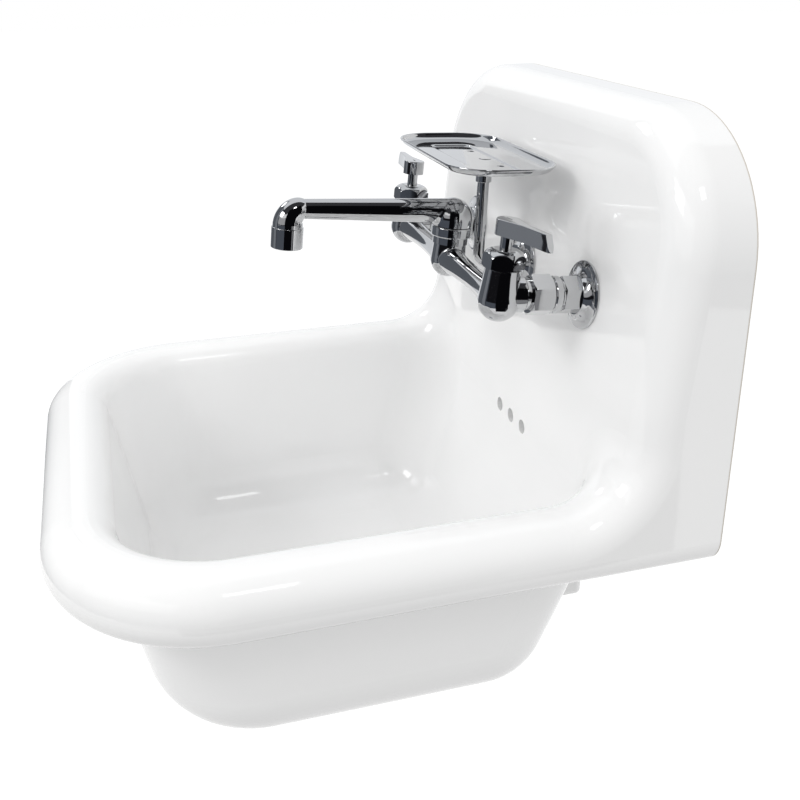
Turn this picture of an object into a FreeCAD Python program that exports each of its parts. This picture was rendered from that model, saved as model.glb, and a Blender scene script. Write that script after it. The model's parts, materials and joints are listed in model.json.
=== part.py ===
import FreeCAD, Part
import math
import os

# Wall-mounted sink with a tall splashback, a bridge faucet and a soap dish.
# Millimetres, +Z up, +X to the right of someone facing the wall, the wall at Y = 0.
# The origin is on the wall, midway between the two screw holes of the hanger plate.

# Basin: outline
basin_half_width = 211.5        # at the underside of the rim
splash_top_half_width = 204.0   # the sides lean in towards the top
basin_depth = 422.0             # wall to the front of the rim
splash_top = 75.5
splash_corner_radius = 86.0
front_corner_radius = 112.0
panel_lean = 5.85               # degrees that the splashback leans back
panel_depth = 55.0              # wall to the panel's face at the faucet
faucet_level = -50.0
panel_break_drop = 50.0         # below the faucet the panel turns upright
panel_bend_radius = 150.0

# Basin: rolled rim
rim_top = -162.0
rim_height = 46.5
rim_width = 44.5
back_corner_radius = 8.0        # lower back corner of each side
rim_outer_radius = 24.0
rim_crest_width = 1.0           # flat along the top, between the two roundings
rim_lower_radius = 20.0

# Basin: bowl
bowl_depth = 158.0              # rim top to the floor
bowl_side_draft = 5.0           # degrees
bowl_front_draft = 10.8
bowl_cove_radius = 45.0
bowl_back_draft = 20.0
bowl_knee_drop = 46.0           # rim top to where the back wall starts to slope
bowl_knee_radius = 150.0
bowl_wall = 12.0
bowl_floor_thickness = 14.5
casting_wall = 13.0             # walls round the hollow back
panel_wall = 12.0

# Basin: overflow
overflow_hole_radius = 5.75
overflow_hole_spacing = 23.0
overflow_hole_drop = 22.0       # below the rim's top
overflow_hole_count = 3
duct_half_width = 60.0
duct_wall = 10.0
duct_wall_gap = 15.0            # wall to the back of the duct
duct_top_rise = 12.0            # above the rim's top
duct_drop = 166.5               # rim's top to the duct's underside
duct_corner_radius = 5.0
passage_half_width = 22.0
passage_height = 10.0
passage_wall = 8.0
rib_wall_gap = 35.0             # wall to the back of the rib under the floor

# Hanger
hanger_hole_radius = 3.5
hanger_hole_spacing = 120.0
hanger_half_width = 80.0
hanger_plate = 4.0
hanger_plate_drop = 14.0        # plate below the holes
hanger_hook_base = 14.0         # holes to the underside of the hook
hanger_hook_height = 20.0
hanger_hook_reach = 13.0        # plate to the outside of the hook's lip
hanger_rib_height = 10.0
hanger_play = 1.5

# Drain
drain_distance = 180.0          # wall to the drain's axis
drain_flange_radius = 30.5
drain_flange_thickness = 3.0
drain_flange_chamfer = 1.0
drain_strainer_sink = 1.0       # strainer's top below the flange's
drain_gasket_thickness = 1.0
drain_tube_radius = 19.5
drain_tube_wall = 2.0
drain_tube_free_length = 31.0
drain_hole_clearance = 3.0
drain_boss_radius = 40.0
drain_seat_clearance = 0.5
drain_slot_width = 5.0
drain_slot_pitch = 9.0
drain_port_radius = 3.5
drain_washer_radius = 31.0
drain_washer_thickness = 4.0
drain_slip_washer_thickness = 1.5
drain_nut_flats = 56.0
drain_nut_height = 10.5
tail_radius = 15.9
tail_wall = 1.5
tail_flange_thickness = 2.0
tail_flange_radius = 18.5
tail_washer_thickness = 2.0
tail_free_length = 28.0
tail_neck_relief = 0.3          # tail is thinner inside the nut's lip
tail_nut_flats = 46.0
tail_nut_grip = 12.0            # thread engagement on the drain's tube
tail_nut_lip = 3.0

# Faucet: layout, seen square to the panel
valve_spacing = 203.2
valve_reach = 61.0              # panel to the valve and spout axes
valve_ball_radius = 14.0
valve_ball_level = -4.0
valve_neck_radius = 11.6
valve_neck_level = 17.8
bridge_level = -3.0
bridge_radius = 7.8             # at its waist
bridge_flare_radius = 11.0      # where it meets the valves and the hub
bridge_bore_radius = 5.0
hub_ball_radius = 13.0
hub_neck_radius = 12.2
hub_neck_level = 8.5
hub_ring_radius = 13.0
hub_ring_height = 5.0
hub_thread_radius = 11.0
hub_thread_height = 5.5
spigot_radius = 10.0
spigot_collar_radius = 12.0
spigot_collar_face = 45.0       # out from the panel
spigot_collar_chamfer = 0.8
casting_blend_radius = 2.0      # where the housings, arms and spigots run together

# Faucet: unions and supply shanks, distances out from the panel
spigot_face = 32.0
union_nut_flats = 24.5
union_nut_outer = 41.0
union_nut_inner = 26.0
union_washer_thickness = 2.0
union_shoulder_thickness = 2.0
union_tail_radius = 8.0
union_tail_bore = 6.0
union_shoulder_radius = 9.7
union_tail_grip = 13.5          # length of the tail inside the shank
shank_collar_radius = 12.6
shank_collar_outer = 25.5
shank_collar_inner = 19.5
shank_collar_chamfer = 1.0
shank_groove_radius = 11.0
shank_groove_width = 1.5
shank_hex_flats = 22.5
shank_hex_inner = 7.0
shank_radius = 10.4
shank_bore = 6.5
shank_hole_clearance = 0.8
shank_free_length = 17.0        # behind the rear nut
shank_relief_width = 1.5        # groove between the nut and the free end
shank_relief_depth = 0.5
flange_radius = 23.0
flange_edge = 1.6
flange_hub_radius = 13.5
flange_wall = 1.4
flange_foot_width = 4.2
flange_hollow = 1.0             # how far the slope is drawn in
flange_hollow_share = 0.3       # and at what share of its height
flange_clearance = 0.2
rear_washer_radius = 19.0
rear_washer_thickness = 2.5
rear_nut_flats = 34.0
rear_nut_thickness = 6.0

# Faucet: valves, heights above the valve's centre
bonnet_flats = 24.6
bonnet_flat_height = 9.0
bonnet_dome_height = 3.7
bonnet_dome_bulge = 1.2
bonnet_dome_share = 0.55        # height of the bulge in the dome
bonnet_collar_radius = 6.5
bonnet_turn = 34.0              # degrees
cartridge_radius = 8.0
cartridge_length = 22.0
cartridge_clearance = 0.05
stem_radius = 4.0
stem_clearance = 0.05
stem_length = 38.8              # from inside the cartridge to the lever's seat
stem_rise = 21.8                # bonnet's foot to the underside of the lever
stem_socket = 7.0               # stem inside the lever's hub
packing_radius = 6.2
packing_height = 3.0
lever_height = 10.4
lever_length = 46.0             # from the stem's axis
lever_hub_radius = 8.3
lever_shoulder = 18.0           # where the hub has run out into the blade
lever_shoulder_width = 6.6
lever_tip_width = 4.6
lever_tip_slant = 5.0           # the top is shorter than the underside
lever_edge_radius = 0.8
lever_right_turn = 13.0         # degrees towards the wall
lever_left_turn = 3.5           # degrees towards the wall
lever_screw_head_radius = 3.2
lever_screw_head_height = 1.6
lever_screw_radius = 1.6
lever_screw_length = 5.5
screw_slot_width = 0.8
screw_slot_depth = 0.7

# Faucet: spout, heights above the hub's centre
swivel_nut_radius = 14.5
swivel_nut_height = 7.8
swivel_nut_chamfer = 0.8
swivel_gap = 0.4
spout_root_radius = 14.4
spout_root_rise = 0.5           # root's dome above the tube's top
spout_blend_radius = 5.0        # where the tube runs into its root
spout_stem_radius = 8.5
spout_stem_clearance = 0.05
spout_stem_drop = 9.0           # below the hub's ring top
spout_line_level = 32.0         # tube's axis over the hub
spout_root_tube_radius = 9.0
spout_tip_tube_radius = 7.0
spout_reach = 121.7             # spout's axis to the outlet's axis
spout_fall = 2.0                # the tube drops towards the outlet
spout_bend_radius = 11.0
spout_bend_sections = 5
spout_outlet_radius = 10.6
spout_outlet_level = 17.3
spout_wall = 4.0
spout_thread_step = 1.0         # outlet's radius to its thread's
o_ring_radius = 1.3
o_ring_drop = 4.0               # below the hub's ring top
aerator_radius = 11.3
aerator_height = 14.7
aerator_thread_length = 6.0
aerator_lip = 1.5
aerator_washer_thickness = 2.0
aerator_washer_bore = 5.2
aerator_hole_radius = 1.1
aerator_hole_ring = 5.3
aerator_hole_count = 6

# Soap dish
dish_rod_radius = 4.3
dish_rod_level = -6.0
dish_rod_reach = 36.8
dish_rod_bend_radius = 9.0
dish_post_height = 75.2
dish_post_turn = 3.3            # degrees forward of the panel's lean
dish_rod_back_length = 30.0
dish_collar_radius = 5.8
dish_collar_height = 15.2
dish_length = 156.0
dish_width = 80.0
dish_forward = 9.0              # dish's centre in front of its post
dish_depth = 7.4
dish_flare = 23.0
dish_wall_width = 9.0           # steep outer part of the flare
dish_slope_rise = 2.0           # of the gentle inner part
dish_corner_radius = 30.0
dish_floor_corner_radius = 12.0
dish_sheet = 1.4
dish_lip = 2.2
dish_skirt = 2.4
dish_drain_radius = 2.5
dish_drain_offset = 30.0        # each side of the post
dish_screw_radius = 2.0
dish_screw_head_radius = 4.5
dish_screw_head_height = 0.6
dish_screw_length = 9.0
dish_nut_flats = 16.0
dish_nut_thickness = 5.0
dish_washer_radius = 14.0
dish_washer_thickness = 2.0

# Shared by all the pieces
thread_clearance = 0.1
nut_chamfer_share = 0.6         # of the step from a flat to a corner
overrun = 1.0                   # how far small cutting solids run past what they cut
overlap = 30.0                  # the same for large ones
tolerance = 1e-3

# Worked out from the sizes above
V = FreeCAD.Vector
rim_low = rim_top - rim_height
side_slope = (basin_half_width - splash_top_half_width) / (splash_top - rim_low)
rim_inner_radius = rim_width - rim_outer_radius - rim_crest_width
bowl_half_width = basin_half_width - rim_height * side_slope - rim_width
bowl_front = basin_depth - rim_width
bowl_corner_radius = front_corner_radius - rim_width
bowl_floor = rim_top - bowl_depth
bowl_knee = rim_top - bowl_knee_drop
bowl_under = bowl_floor - bowl_floor_thickness
panel_bend_level = faucet_level - panel_break_drop
lean_slope = math.tan(math.radians(panel_lean))
bowl_back = -panel_depth - panel_break_drop * lean_slope
boss_under = bowl_under - passage_height - passage_wall
half_spacing = valve_spacing / 2
bonnet_foot = valve_neck_level
lever_level = bonnet_foot + stem_rise
hub_top = hub_neck_level + hub_ring_height
spout_thread_radius = spout_outlet_radius - spout_thread_step


def polygon_prism(points, along):
    """Extrude the closed polygon through the points by the vector along."""
    face = Part.Face(Part.makePolygon(points + points[:1]))
    return face.extrude(along)


def box(low, high):
    """Box between two corners."""
    size = [b - a for a, b in zip(low, high)]
    return Part.makeBox(*size, V(*low))


def nearest_edge(shape, point):
    """Edge of the shape that passes closest to a point."""
    vertex = Part.Vertex(V(*point))
    return min(shape.Edges, key=lambda edge: edge.distToShape(vertex)[0])


def round_edges(shape, radius, *points):
    """Fillet the edges that pass through the points, with the edges tangent to them."""
    return shape.makeFillet(radius, [nearest_edge(shape, point) for point in points])


def blended(pieces, radius):
    """Join pieces into one casting and fillet the seams where their skins cross."""
    casting = pieces[0].fuse(pieces[1:]).removeSplitter()
    seams = []
    for edge in casting.Edges:
        middle = Part.Vertex(edge.valueAt((edge.FirstParameter + edge.LastParameter) / 2))
        skins = [piece for piece in pieces if piece.Shells[0].distToShape(middle)[0] < tolerance]
        if edge.Length > tolerance and len(skins) > 1:
            seams.append(edge)
    return casting.makeFillet(radius, seams)


def turned(points):
    """Solid of revolution about Z from (radius, height) points."""
    corners = [V(r, 0, z) for r, z in points]
    face = Part.Face(Part.makePolygon(corners + corners[:1]))
    return face.revolve(V(0, 0, 0), V(0, 0, 1), 360)


def turned_wire(edges):
    """Solid of revolution about Z from the edges of a closed outline."""
    return Part.Face(Part.Wire(edges)).revolve(V(0, 0, 0), V(0, 0, 1), 360)


def ring(outer, inner, low, high):
    """Plain ring about Z."""
    return turned([(inner, low), (outer, low), (outer, high), (inner, high)])


def rod(radius, low, high):
    """Plain cylinder about Z."""
    return Part.makeCylinder(radius, high - low, V(0, 0, low))


def hexagon(flats, low, high, turn=0.0):
    """Hexagonal prism about Z, one flat facing along the angle turn."""
    corner = flats / math.sqrt(3)
    angles = [math.radians(turn + 30 + 60 * i) for i in range(6)]
    points = [V(corner * math.cos(a), corner * math.sin(a), low) for a in angles]
    return polygon_prism(points, V(0, 0, high - low))


def chamfered_hexagon(flats, low, high, turn=0.0):
    """Hexagonal prism whose corners are turned down at both ends."""
    corner = flats / math.sqrt(3)
    drop = (corner - flats / 2) * nut_chamfer_share
    blank = turned([(0, low), (flats / 2, low), (corner, low + drop),
                    (corner, high - drop), (flats / 2, high), (0, high)])
    return hexagon(flats, low, high, turn).common(blank)


def bored(shape, radius):
    """Shape with a hole right through it along Z."""
    limits = shape.BoundBox
    return shape.cut(rod(radius, limits.ZMin - overrun, limits.ZMax + overrun))


def moved(shape, x=0.0, y=0.0, z=0.0):
    """Copy of a shape, shifted."""
    copy = shape.copy()
    copy.translate(V(x, y, z))
    return copy


def rotated(shape, angle, axis, centre=V(0, 0, 0)):
    """Copy of a shape, turned about an axis."""
    copy = shape.copy()
    copy.rotate(centre, axis, angle)
    return copy


def outward(shape):
    """Turn a shape made about Z so that its Z points out from the panel."""
    return rotated(shape, 90, V(1, 0, 0))


def on_panel(shape):
    """Set a shape made square to the panel at the faucet's centre on the leaning panel."""
    return moved(rotated(shape, -panel_lean, V(1, 0, 0)), 0, -panel_depth, faucet_level)


def bowl_side(level, grow):
    """Half width of the bowl at a level, made larger by grow."""
    return bowl_half_width + grow - (rim_top - level) * math.tan(math.radians(bowl_side_draft))


def bowl_nose(level, grow):
    """Y of the bowl's front wall at a level."""
    return -bowl_front - grow + (rim_top - level) * math.tan(math.radians(bowl_front_draft))


def bowl_rear(level, grow):
    """Y of the bowl's back wall at a level: upright above the knee, sloping below it."""
    return bowl_back + grow - max(bowl_knee - level, 0) * math.tan(math.radians(bowl_back_draft))


def bowl_tub(grow, top, under):
    """Bowl's shape made larger by grow, with round front corners and a smooth knee at the back."""
    profile = [(bowl_nose(top, grow), top), (bowl_nose(under, grow), under), (bowl_rear(under, grow), under),
               (bowl_rear(bowl_knee, grow), bowl_knee), (bowl_rear(top, grow), top)]
    left = [V(-bowl_side(z, grow), y, z) for y, z in profile]
    right = [V(bowl_side(z, grow), y, z) for y, z in profile]
    faces = [Part.Face(Part.makePolygon(loop + loop[:1])) for loop in (left[::-1], right)]
    for i in range(len(profile)):
        corners = [left[i - 1], left[i], right[i], right[i - 1]]
        faces.append(Part.Face(Part.makePolygon(corners + corners[:1])))
    tub = Part.Solid(Part.Shell(faces))
    middle = (top + under) / 2
    corners = [(s * bowl_side(middle, grow), bowl_nose(middle, grow), middle) for s in (-1, 1)]
    tub = round_edges(tub, bowl_corner_radius + grow, *corners)
    return round_edges(tub, bowl_knee_radius, (0, bowl_rear(bowl_knee, grow), bowl_knee))


def floor_points(grow, under):
    """Points on the edges round the bowl's floor."""
    return [(0, bowl_rear(under, grow), under), (0, bowl_nose(under, grow), under)]


def panel_profile(offset, low, high):
    """Side view of the space in front of the panel's face, moved towards the wall by offset."""
    slant = offset / math.cos(math.radians(panel_lean))
    upright = bowl_back + offset
    bend = panel_bend_level + offset * math.tan(math.radians(panel_lean / 2))
    top = -panel_depth + slant + (high - faucet_level) * lean_slope
    return [(upright, low), (upright, bend), (top, high)], (upright, bend)


def basin_void():
    """Everything that the casting leaves open in front of the splashback and in the bowl."""
    high = splash_top + overlap
    far = -basin_depth - front_corner_radius
    side = basin_half_width + front_corner_radius
    line, bend = panel_profile(0, rim_top, high)
    points = [V(-side, y, z) for y, z in line + [(far, high), (far, rim_top)]]
    space = polygon_prism(points, V(2 * side, 0, 0))
    space = round_edges(space, panel_bend_radius, (0, bend[0], bend[1]))
    space = space.fuse(bowl_tub(0, rim_top + overrun, bowl_floor)).removeSplitter()
    space = round_edges(space, rim_inner_radius, (0, -bowl_front, rim_top))
    coves = [(s * (side + bowl_half_width) / 2, bowl_back, rim_top) for s in (-1, 1)]
    return round_edges(space, bowl_cove_radius, *coves, *floor_points(0, bowl_floor))


def outer_bowl():
    """Outside of the bowl, a wall's thickness from its inside."""
    tub = bowl_tub(bowl_wall, rim_top, bowl_under)
    level = (rim_top + bowl_knee) / 2
    points = [(s * bowl_side(level, bowl_wall), bowl_back + bowl_wall, level) for s in (-1, 1)]
    return round_edges(tub, bowl_cove_radius + bowl_wall, *points, *floor_points(bowl_wall, bowl_under))


def casting_slab(void):
    """Rim and splashback, with the edge that rolls over all round."""
    outline = [V(-basin_half_width, 0, rim_low), V(basin_half_width, 0, rim_low),
               V(splash_top_half_width, 0, splash_top), V(-splash_top_half_width, 0, splash_top)]
    slab = polygon_prism(outline, V(0, -basin_depth, 0))
    slab = round_edges(slab, splash_corner_radius,
                       *[(s * splash_top_half_width, -basin_depth / 2, splash_top) for s in (-1, 1)])
    slab = slab.cut(void)
    middle = rim_low + rim_height / 2
    slab = round_edges(slab, front_corner_radius,
                       *[(s * basin_half_width, -basin_depth, middle) for s in (-1, 1)])
    slab = round_edges(slab, rim_outer_radius, (0, -basin_depth, rim_top))
    return round_edges(slab, rim_lower_radius, (0, -basin_depth, rim_low))


def back_hollow():
    """Hollow behind the splashback, open to the wall and downwards."""
    low = rim_low - overlap
    high = splash_top - casting_wall
    line = panel_profile(panel_wall, low, high)[0]
    side = basin_half_width
    points = [V(-side, y, z) for y, z in line + [(overlap, high), (overlap, low)]]
    depth = polygon_prism(points, V(2 * side, 0, 0))
    lower = basin_half_width - casting_wall + (rim_low - low) * side_slope
    upper = splash_top_half_width - casting_wall + casting_wall * side_slope
    corners = [(-lower, low), (lower, low), (upper, high), (-upper, high)]
    outline = [V(x, overlap, z) for x, z in corners]
    width = polygon_prism(outline, V(0, -basin_depth / 2, 0))
    width = round_edges(width, splash_corner_radius - casting_wall,
                        *[(s * upper, 0, high) for s in (-1, 1)])
    return depth.common(width)


def overflow_duct(shell):
    """Duct down the back of the bowl, and the rib under the floor that leads to the drain."""
    back = -duct_wall_gap
    duct = box((-duct_half_width, bowl_back - bowl_wall - bowl_cove_radius, rim_top - duct_drop),
               (duct_half_width, back, rim_top + duct_top_rise))
    uprights = [(s * duct_half_width, back, rim_top - duct_drop / 2) for s in (-1, 1)]
    duct = round_edges(duct, duct_corner_radius, *uprights)
    duct = round_edges(duct, duct_corner_radius, (0, back, rim_top - duct_drop))
    rib_half = passage_half_width + passage_wall
    rib = box((-rib_half, -drain_distance, boss_under),
              (rib_half, -rib_wall_gap, rim_top - duct_drop + 2 * duct_wall))
    rib = round_edges(rib, duct_corner_radius, (0, -rib_wall_gap, boss_under))
    boss = moved(rod(drain_boss_radius, boss_under, bowl_floor - duct_wall), 0, -drain_distance)
    return duct.fuse([rib, boss, shell])


def overflow_passage(shell):
    """Waterway inside the duct and the rib."""
    inner = duct_half_width - duct_wall
    back = -duct_wall_gap - duct_wall
    shaft = box((-inner, bowl_back + bowl_wall, rim_top - duct_drop + duct_wall),
                (inner, back, rim_top + duct_top_rise - duct_wall))
    run = box((-passage_half_width, -drain_distance, bowl_under - passage_height),
              (passage_half_width, -rib_wall_gap - passage_wall, rim_top - duct_drop + 2 * duct_wall))
    return shaft.fuse(run).cut(shell)


def hanger_rib():
    """Ledge inside the hollow, with a nib that drops behind the hanger's hook."""
    seat = hanger_hook_base + hanger_hook_height
    lip_back = -hanger_hook_reach
    nib_back = -hanger_plate - hanger_play
    half = hanger_half_width + hanger_plate
    ledge = box((-half, -panel_depth, seat), (half, nib_back, seat + hanger_rib_height))
    nib = box((-half, lip_back + hanger_play, seat - hanger_rib_height), (half, nib_back, seat))
    return ledge.fuse(nib)


def back_corner():
    """What the rounding of the lower back corners takes away."""
    r = back_corner_radius
    corner = box((-basin_half_width, -r, rim_low), (basin_half_width, 0, rim_low + r))
    round_bar = Part.makeCylinder(r, 2 * basin_half_width, V(-basin_half_width, -r, rim_low + r), V(1, 0, 0))
    return corner.cut(round_bar)


def basin():
    """One glazed casting: bowl, rolled rim, splashback, overflow duct and hanger rib."""
    void = basin_void()
    shell = outer_bowl()
    slab = casting_slab(void)
    rib = hanger_rib().common(back_hollow())
    body = slab.cut(back_hollow()).fuse([overflow_duct(shell), rib])
    body = body.cut(void).cut(overflow_passage(shell))
    tools = [back_corner()]
    first = -(overflow_hole_count - 1) / 2
    for i in range(overflow_hole_count):
        hole = outward(rod(overflow_hole_radius, -bowl_wall - overrun, overlap))
        x = (first + i) * overflow_hole_spacing
        tools.append(moved(hole, x, bowl_back, rim_top - overflow_hole_drop))
    for x in (-half_spacing, half_spacing):
        hole = outward(rod(shank_radius + shank_hole_clearance, -panel_wall - overrun, overlap))
        tools.append(on_panel(moved(hole, x)))
    hole = outward(rod(dish_rod_radius + shank_hole_clearance, -panel_wall - overrun, overlap))
    tools.append(on_panel(moved(hole, 0, 0, dish_rod_level)))
    top = bowl_floor + overrun
    seat = bowl_floor - drain_flange_thickness - drain_gasket_thickness
    throat = rod(drain_tube_radius + drain_hole_clearance, boss_under - overrun, top)
    recess = rod(drain_flange_radius + drain_seat_clearance, seat, top)
    tools.append(moved(throat.fuse(recess), 0, -drain_distance))
    for tool in tools:
        body = body.cut(tool)
    return body


def wall_hanger():
    """Steel hanger plate with a hook along its top edge."""
    half = hanger_half_width
    top = hanger_hook_base + hanger_hook_height
    lip_out = -hanger_plate - hanger_hook_reach
    plate = box((-half, -hanger_plate, -hanger_plate_drop), (half, 0, top))
    base = box((-half, lip_out, hanger_hook_base), (half, -hanger_plate, hanger_hook_base + hanger_plate))
    lip = box((-half, lip_out, hanger_hook_base), (half, lip_out + hanger_plate, top))
    hanger = plate.fuse([base, lip]).removeSplitter()
    for x in (-hanger_hole_spacing / 2, hanger_hole_spacing / 2):
        hanger = hanger.cut(moved(outward(rod(hanger_hole_radius, -overrun, hanger_plate + overrun)), x))
    return hanger


def drain_parts():
    """Drain stack from the strainer down to the tailpiece, about its own axis."""
    clear = thread_clearance
    bore = drain_tube_radius - drain_tube_wall
    flange_low = bowl_floor - drain_flange_thickness
    gasket_low = flange_low - drain_gasket_thickness
    tube_end = boss_under - drain_tube_free_length
    chamfer = drain_flange_chamfer
    body = turned([(bore, tube_end), (drain_tube_radius, tube_end), (drain_tube_radius, flange_low),
                   (drain_flange_radius, flange_low), (drain_flange_radius, bowl_floor - chamfer),
                   (drain_flange_radius - chamfer, bowl_floor), (bore, bowl_floor)])
    port = outward(rod(drain_port_radius, -2 * drain_tube_radius, 2 * drain_tube_radius))
    body = body.cut(moved(port, 0, 0, bowl_under - passage_height / 2))

    grid_radius = bore - clear
    grid = rod(grid_radius, flange_low, bowl_floor - drain_strainer_sink)
    count = int(grid_radius // drain_slot_pitch)
    for i in range(-count, count + 1):
        offset = i * drain_slot_pitch
        half = math.sqrt(max(grid_radius ** 2 - offset ** 2, 0)) - drain_tube_wall - drain_slot_width / 2
        if half > drain_slot_width / 2:
            slot = box((offset - drain_slot_width / 2, -half, flange_low - overrun),
                       (offset + drain_slot_width / 2, half, bowl_floor))
            grid = grid.cut(slot)
    gasket = ring(drain_flange_radius, drain_tube_radius + clear, gasket_low, flange_low)
    washer_low = boss_under - drain_washer_thickness
    washer = ring(drain_washer_radius, drain_tube_radius + clear, washer_low, boss_under)
    slip_low = washer_low - drain_slip_washer_thickness
    slip = ring(drain_washer_radius, drain_tube_radius + clear, slip_low, washer_low)
    nut_low = slip_low - drain_nut_height
    nut = bored(chamfered_hexagon(drain_nut_flats, nut_low, slip_low), drain_tube_radius + clear)
    tail_seal_low = tube_end - tail_washer_thickness
    tail_seal = ring(tail_flange_radius, bore, tail_seal_low, tube_end)
    tail_flange_low = tail_seal_low - tail_flange_thickness
    lip_low = tail_flange_low - tail_nut_lip
    tail_end = lip_low - tail_free_length
    tail_bore = tail_radius - tail_wall
    neck = tail_radius - tail_neck_relief
    tail = turned([(tail_bore, tail_end), (tail_radius, tail_end), (tail_radius, lip_low), (neck, lip_low),
                   (neck, tail_flange_low), (tail_flange_radius, tail_flange_low),
                   (tail_flange_radius, tail_seal_low), (tail_bore, tail_seal_low)])
    grip_top = tube_end + tail_nut_grip
    tail_nut = chamfered_hexagon(tail_nut_flats, lip_low, grip_top)
    tail_nut = tail_nut.cut(rod(drain_tube_radius + clear, tail_flange_low, grip_top + overrun))
    tail_nut = bored(tail_nut, tail_radius + clear)
    parts = {"drain_body": body, "drain_strainer": grid, "drain_flange_gasket": gasket,
             "drain_rubber_washer": washer, "drain_slip_washer": slip, "drain_lock_nut": nut,
             "tail_washer": tail_seal, "drain_tailpiece": tail, "tail_coupling_nut": tail_nut}
    return {name: moved(shape, 0, -drain_distance) for name, shape in parts.items()}


def pear(ball_radius, neck_radius, neck_level):
    """Housing about Z: a ball that runs smoothly into a narrower neck."""
    rise = neck_level - valve_ball_level
    lean = math.atan2(rise, neck_radius) - math.acos(ball_radius / math.hypot(rise, neck_radius))
    angles = [-math.pi / 2, (lean - math.pi / 2) / 2, lean]
    arc = [V(ball_radius * math.cos(a), 0, valve_ball_level + ball_radius * math.sin(a)) for a in angles]
    points = [arc[2], V(neck_radius, 0, neck_level), V(0, 0, neck_level), arc[0]]
    lines = [Part.LineSegment(a, b).toShape() for a, b in zip(points, points[1:])]
    return turned_wire([Part.Arc(*arc).toShape()] + lines)


def bridge_arm():
    """Waisted tube from the hub to one valve, along X."""
    shift = half_spacing / 2
    arc = Part.Arc(V(bridge_flare_radius, 0, 0), V(bridge_radius, 0, shift),
                   V(bridge_flare_radius, 0, half_spacing)).toShape()
    ends = [Part.LineSegment(V(0, 0, 0), V(bridge_flare_radius, 0, 0)).toShape(),
            Part.LineSegment(V(bridge_flare_radius, 0, half_spacing), V(0, 0, half_spacing)).toShape(),
            Part.LineSegment(V(0, 0, half_spacing), V(0, 0, 0)).toShape()]
    arm = turned_wire([ends[0], arc, ends[1], ends[2]])
    return moved(rotated(arm, 90, V(0, 1, 0)), 0, -valve_reach, bridge_level)


def faucet_half():
    """Right half of the bridge casting: a valve housing, its spigot, an arm and half the hub."""
    hub = pear(hub_ball_radius, hub_neck_radius, hub_neck_level)
    housing = pear(valve_ball_radius, valve_neck_radius, valve_neck_level)
    spigot = moved(outward(rod(spigot_radius, spigot_face, valve_reach)), half_spacing)
    valve = blended([moved(housing, half_spacing, -valve_reach), spigot, bridge_arm()], casting_blend_radius)
    casting = blended([moved(hub, 0, -valve_reach), valve], casting_blend_radius)
    limits = casting.BoundBox
    return casting.common(box((0, limits.YMin, limits.ZMin), (limits.XMax, limits.YMax, limits.ZMax)))


def faucet_body():
    """Bridge casting: two valve housings, the hub under the spout and the arms between."""
    half = faucet_half()
    column = rod(hub_ring_radius, hub_neck_level, hub_top).fuse(
        rod(hub_thread_radius, hub_top, hub_top + hub_thread_height))
    collar = rod(spigot_collar_radius, spigot_collar_face, valve_reach)
    rim = nearest_edge(collar, (0, spigot_collar_radius, spigot_collar_face))
    collar = outward(collar.makeChamfer(spigot_collar_chamfer, [rim]))
    added = [moved(column, 0, -valve_reach), moved(collar, -half_spacing), moved(collar, half_spacing)]
    body = half.fuse([half.mirror(V(0, 0, 0), V(1, 0, 0))] + added).removeSplitter()
    gallery = rotated(rod(bridge_bore_radius, -half_spacing, half_spacing), 90, V(0, 1, 0))
    socket = rod(spout_stem_radius + spout_stem_clearance, hub_top - spout_stem_drop - overrun,
                 hub_top + hub_thread_height + overrun)
    bores = [moved(gallery, 0, -valve_reach, bridge_level), moved(socket, 0, -valve_reach),
             moved(rod(bridge_bore_radius, bridge_level, hub_top), 0, -valve_reach)]
    seat = rod(cartridge_radius + cartridge_clearance, bonnet_foot - cartridge_length, bonnet_foot + overrun)
    inlet = outward(rod(union_tail_bore, spigot_face - overrun, valve_reach))
    for x in (-half_spacing, half_spacing):
        bores += [moved(seat, x, -valve_reach), moved(inlet, x)]
    for bore in bores:
        body = body.cut(bore)
    return body


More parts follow.
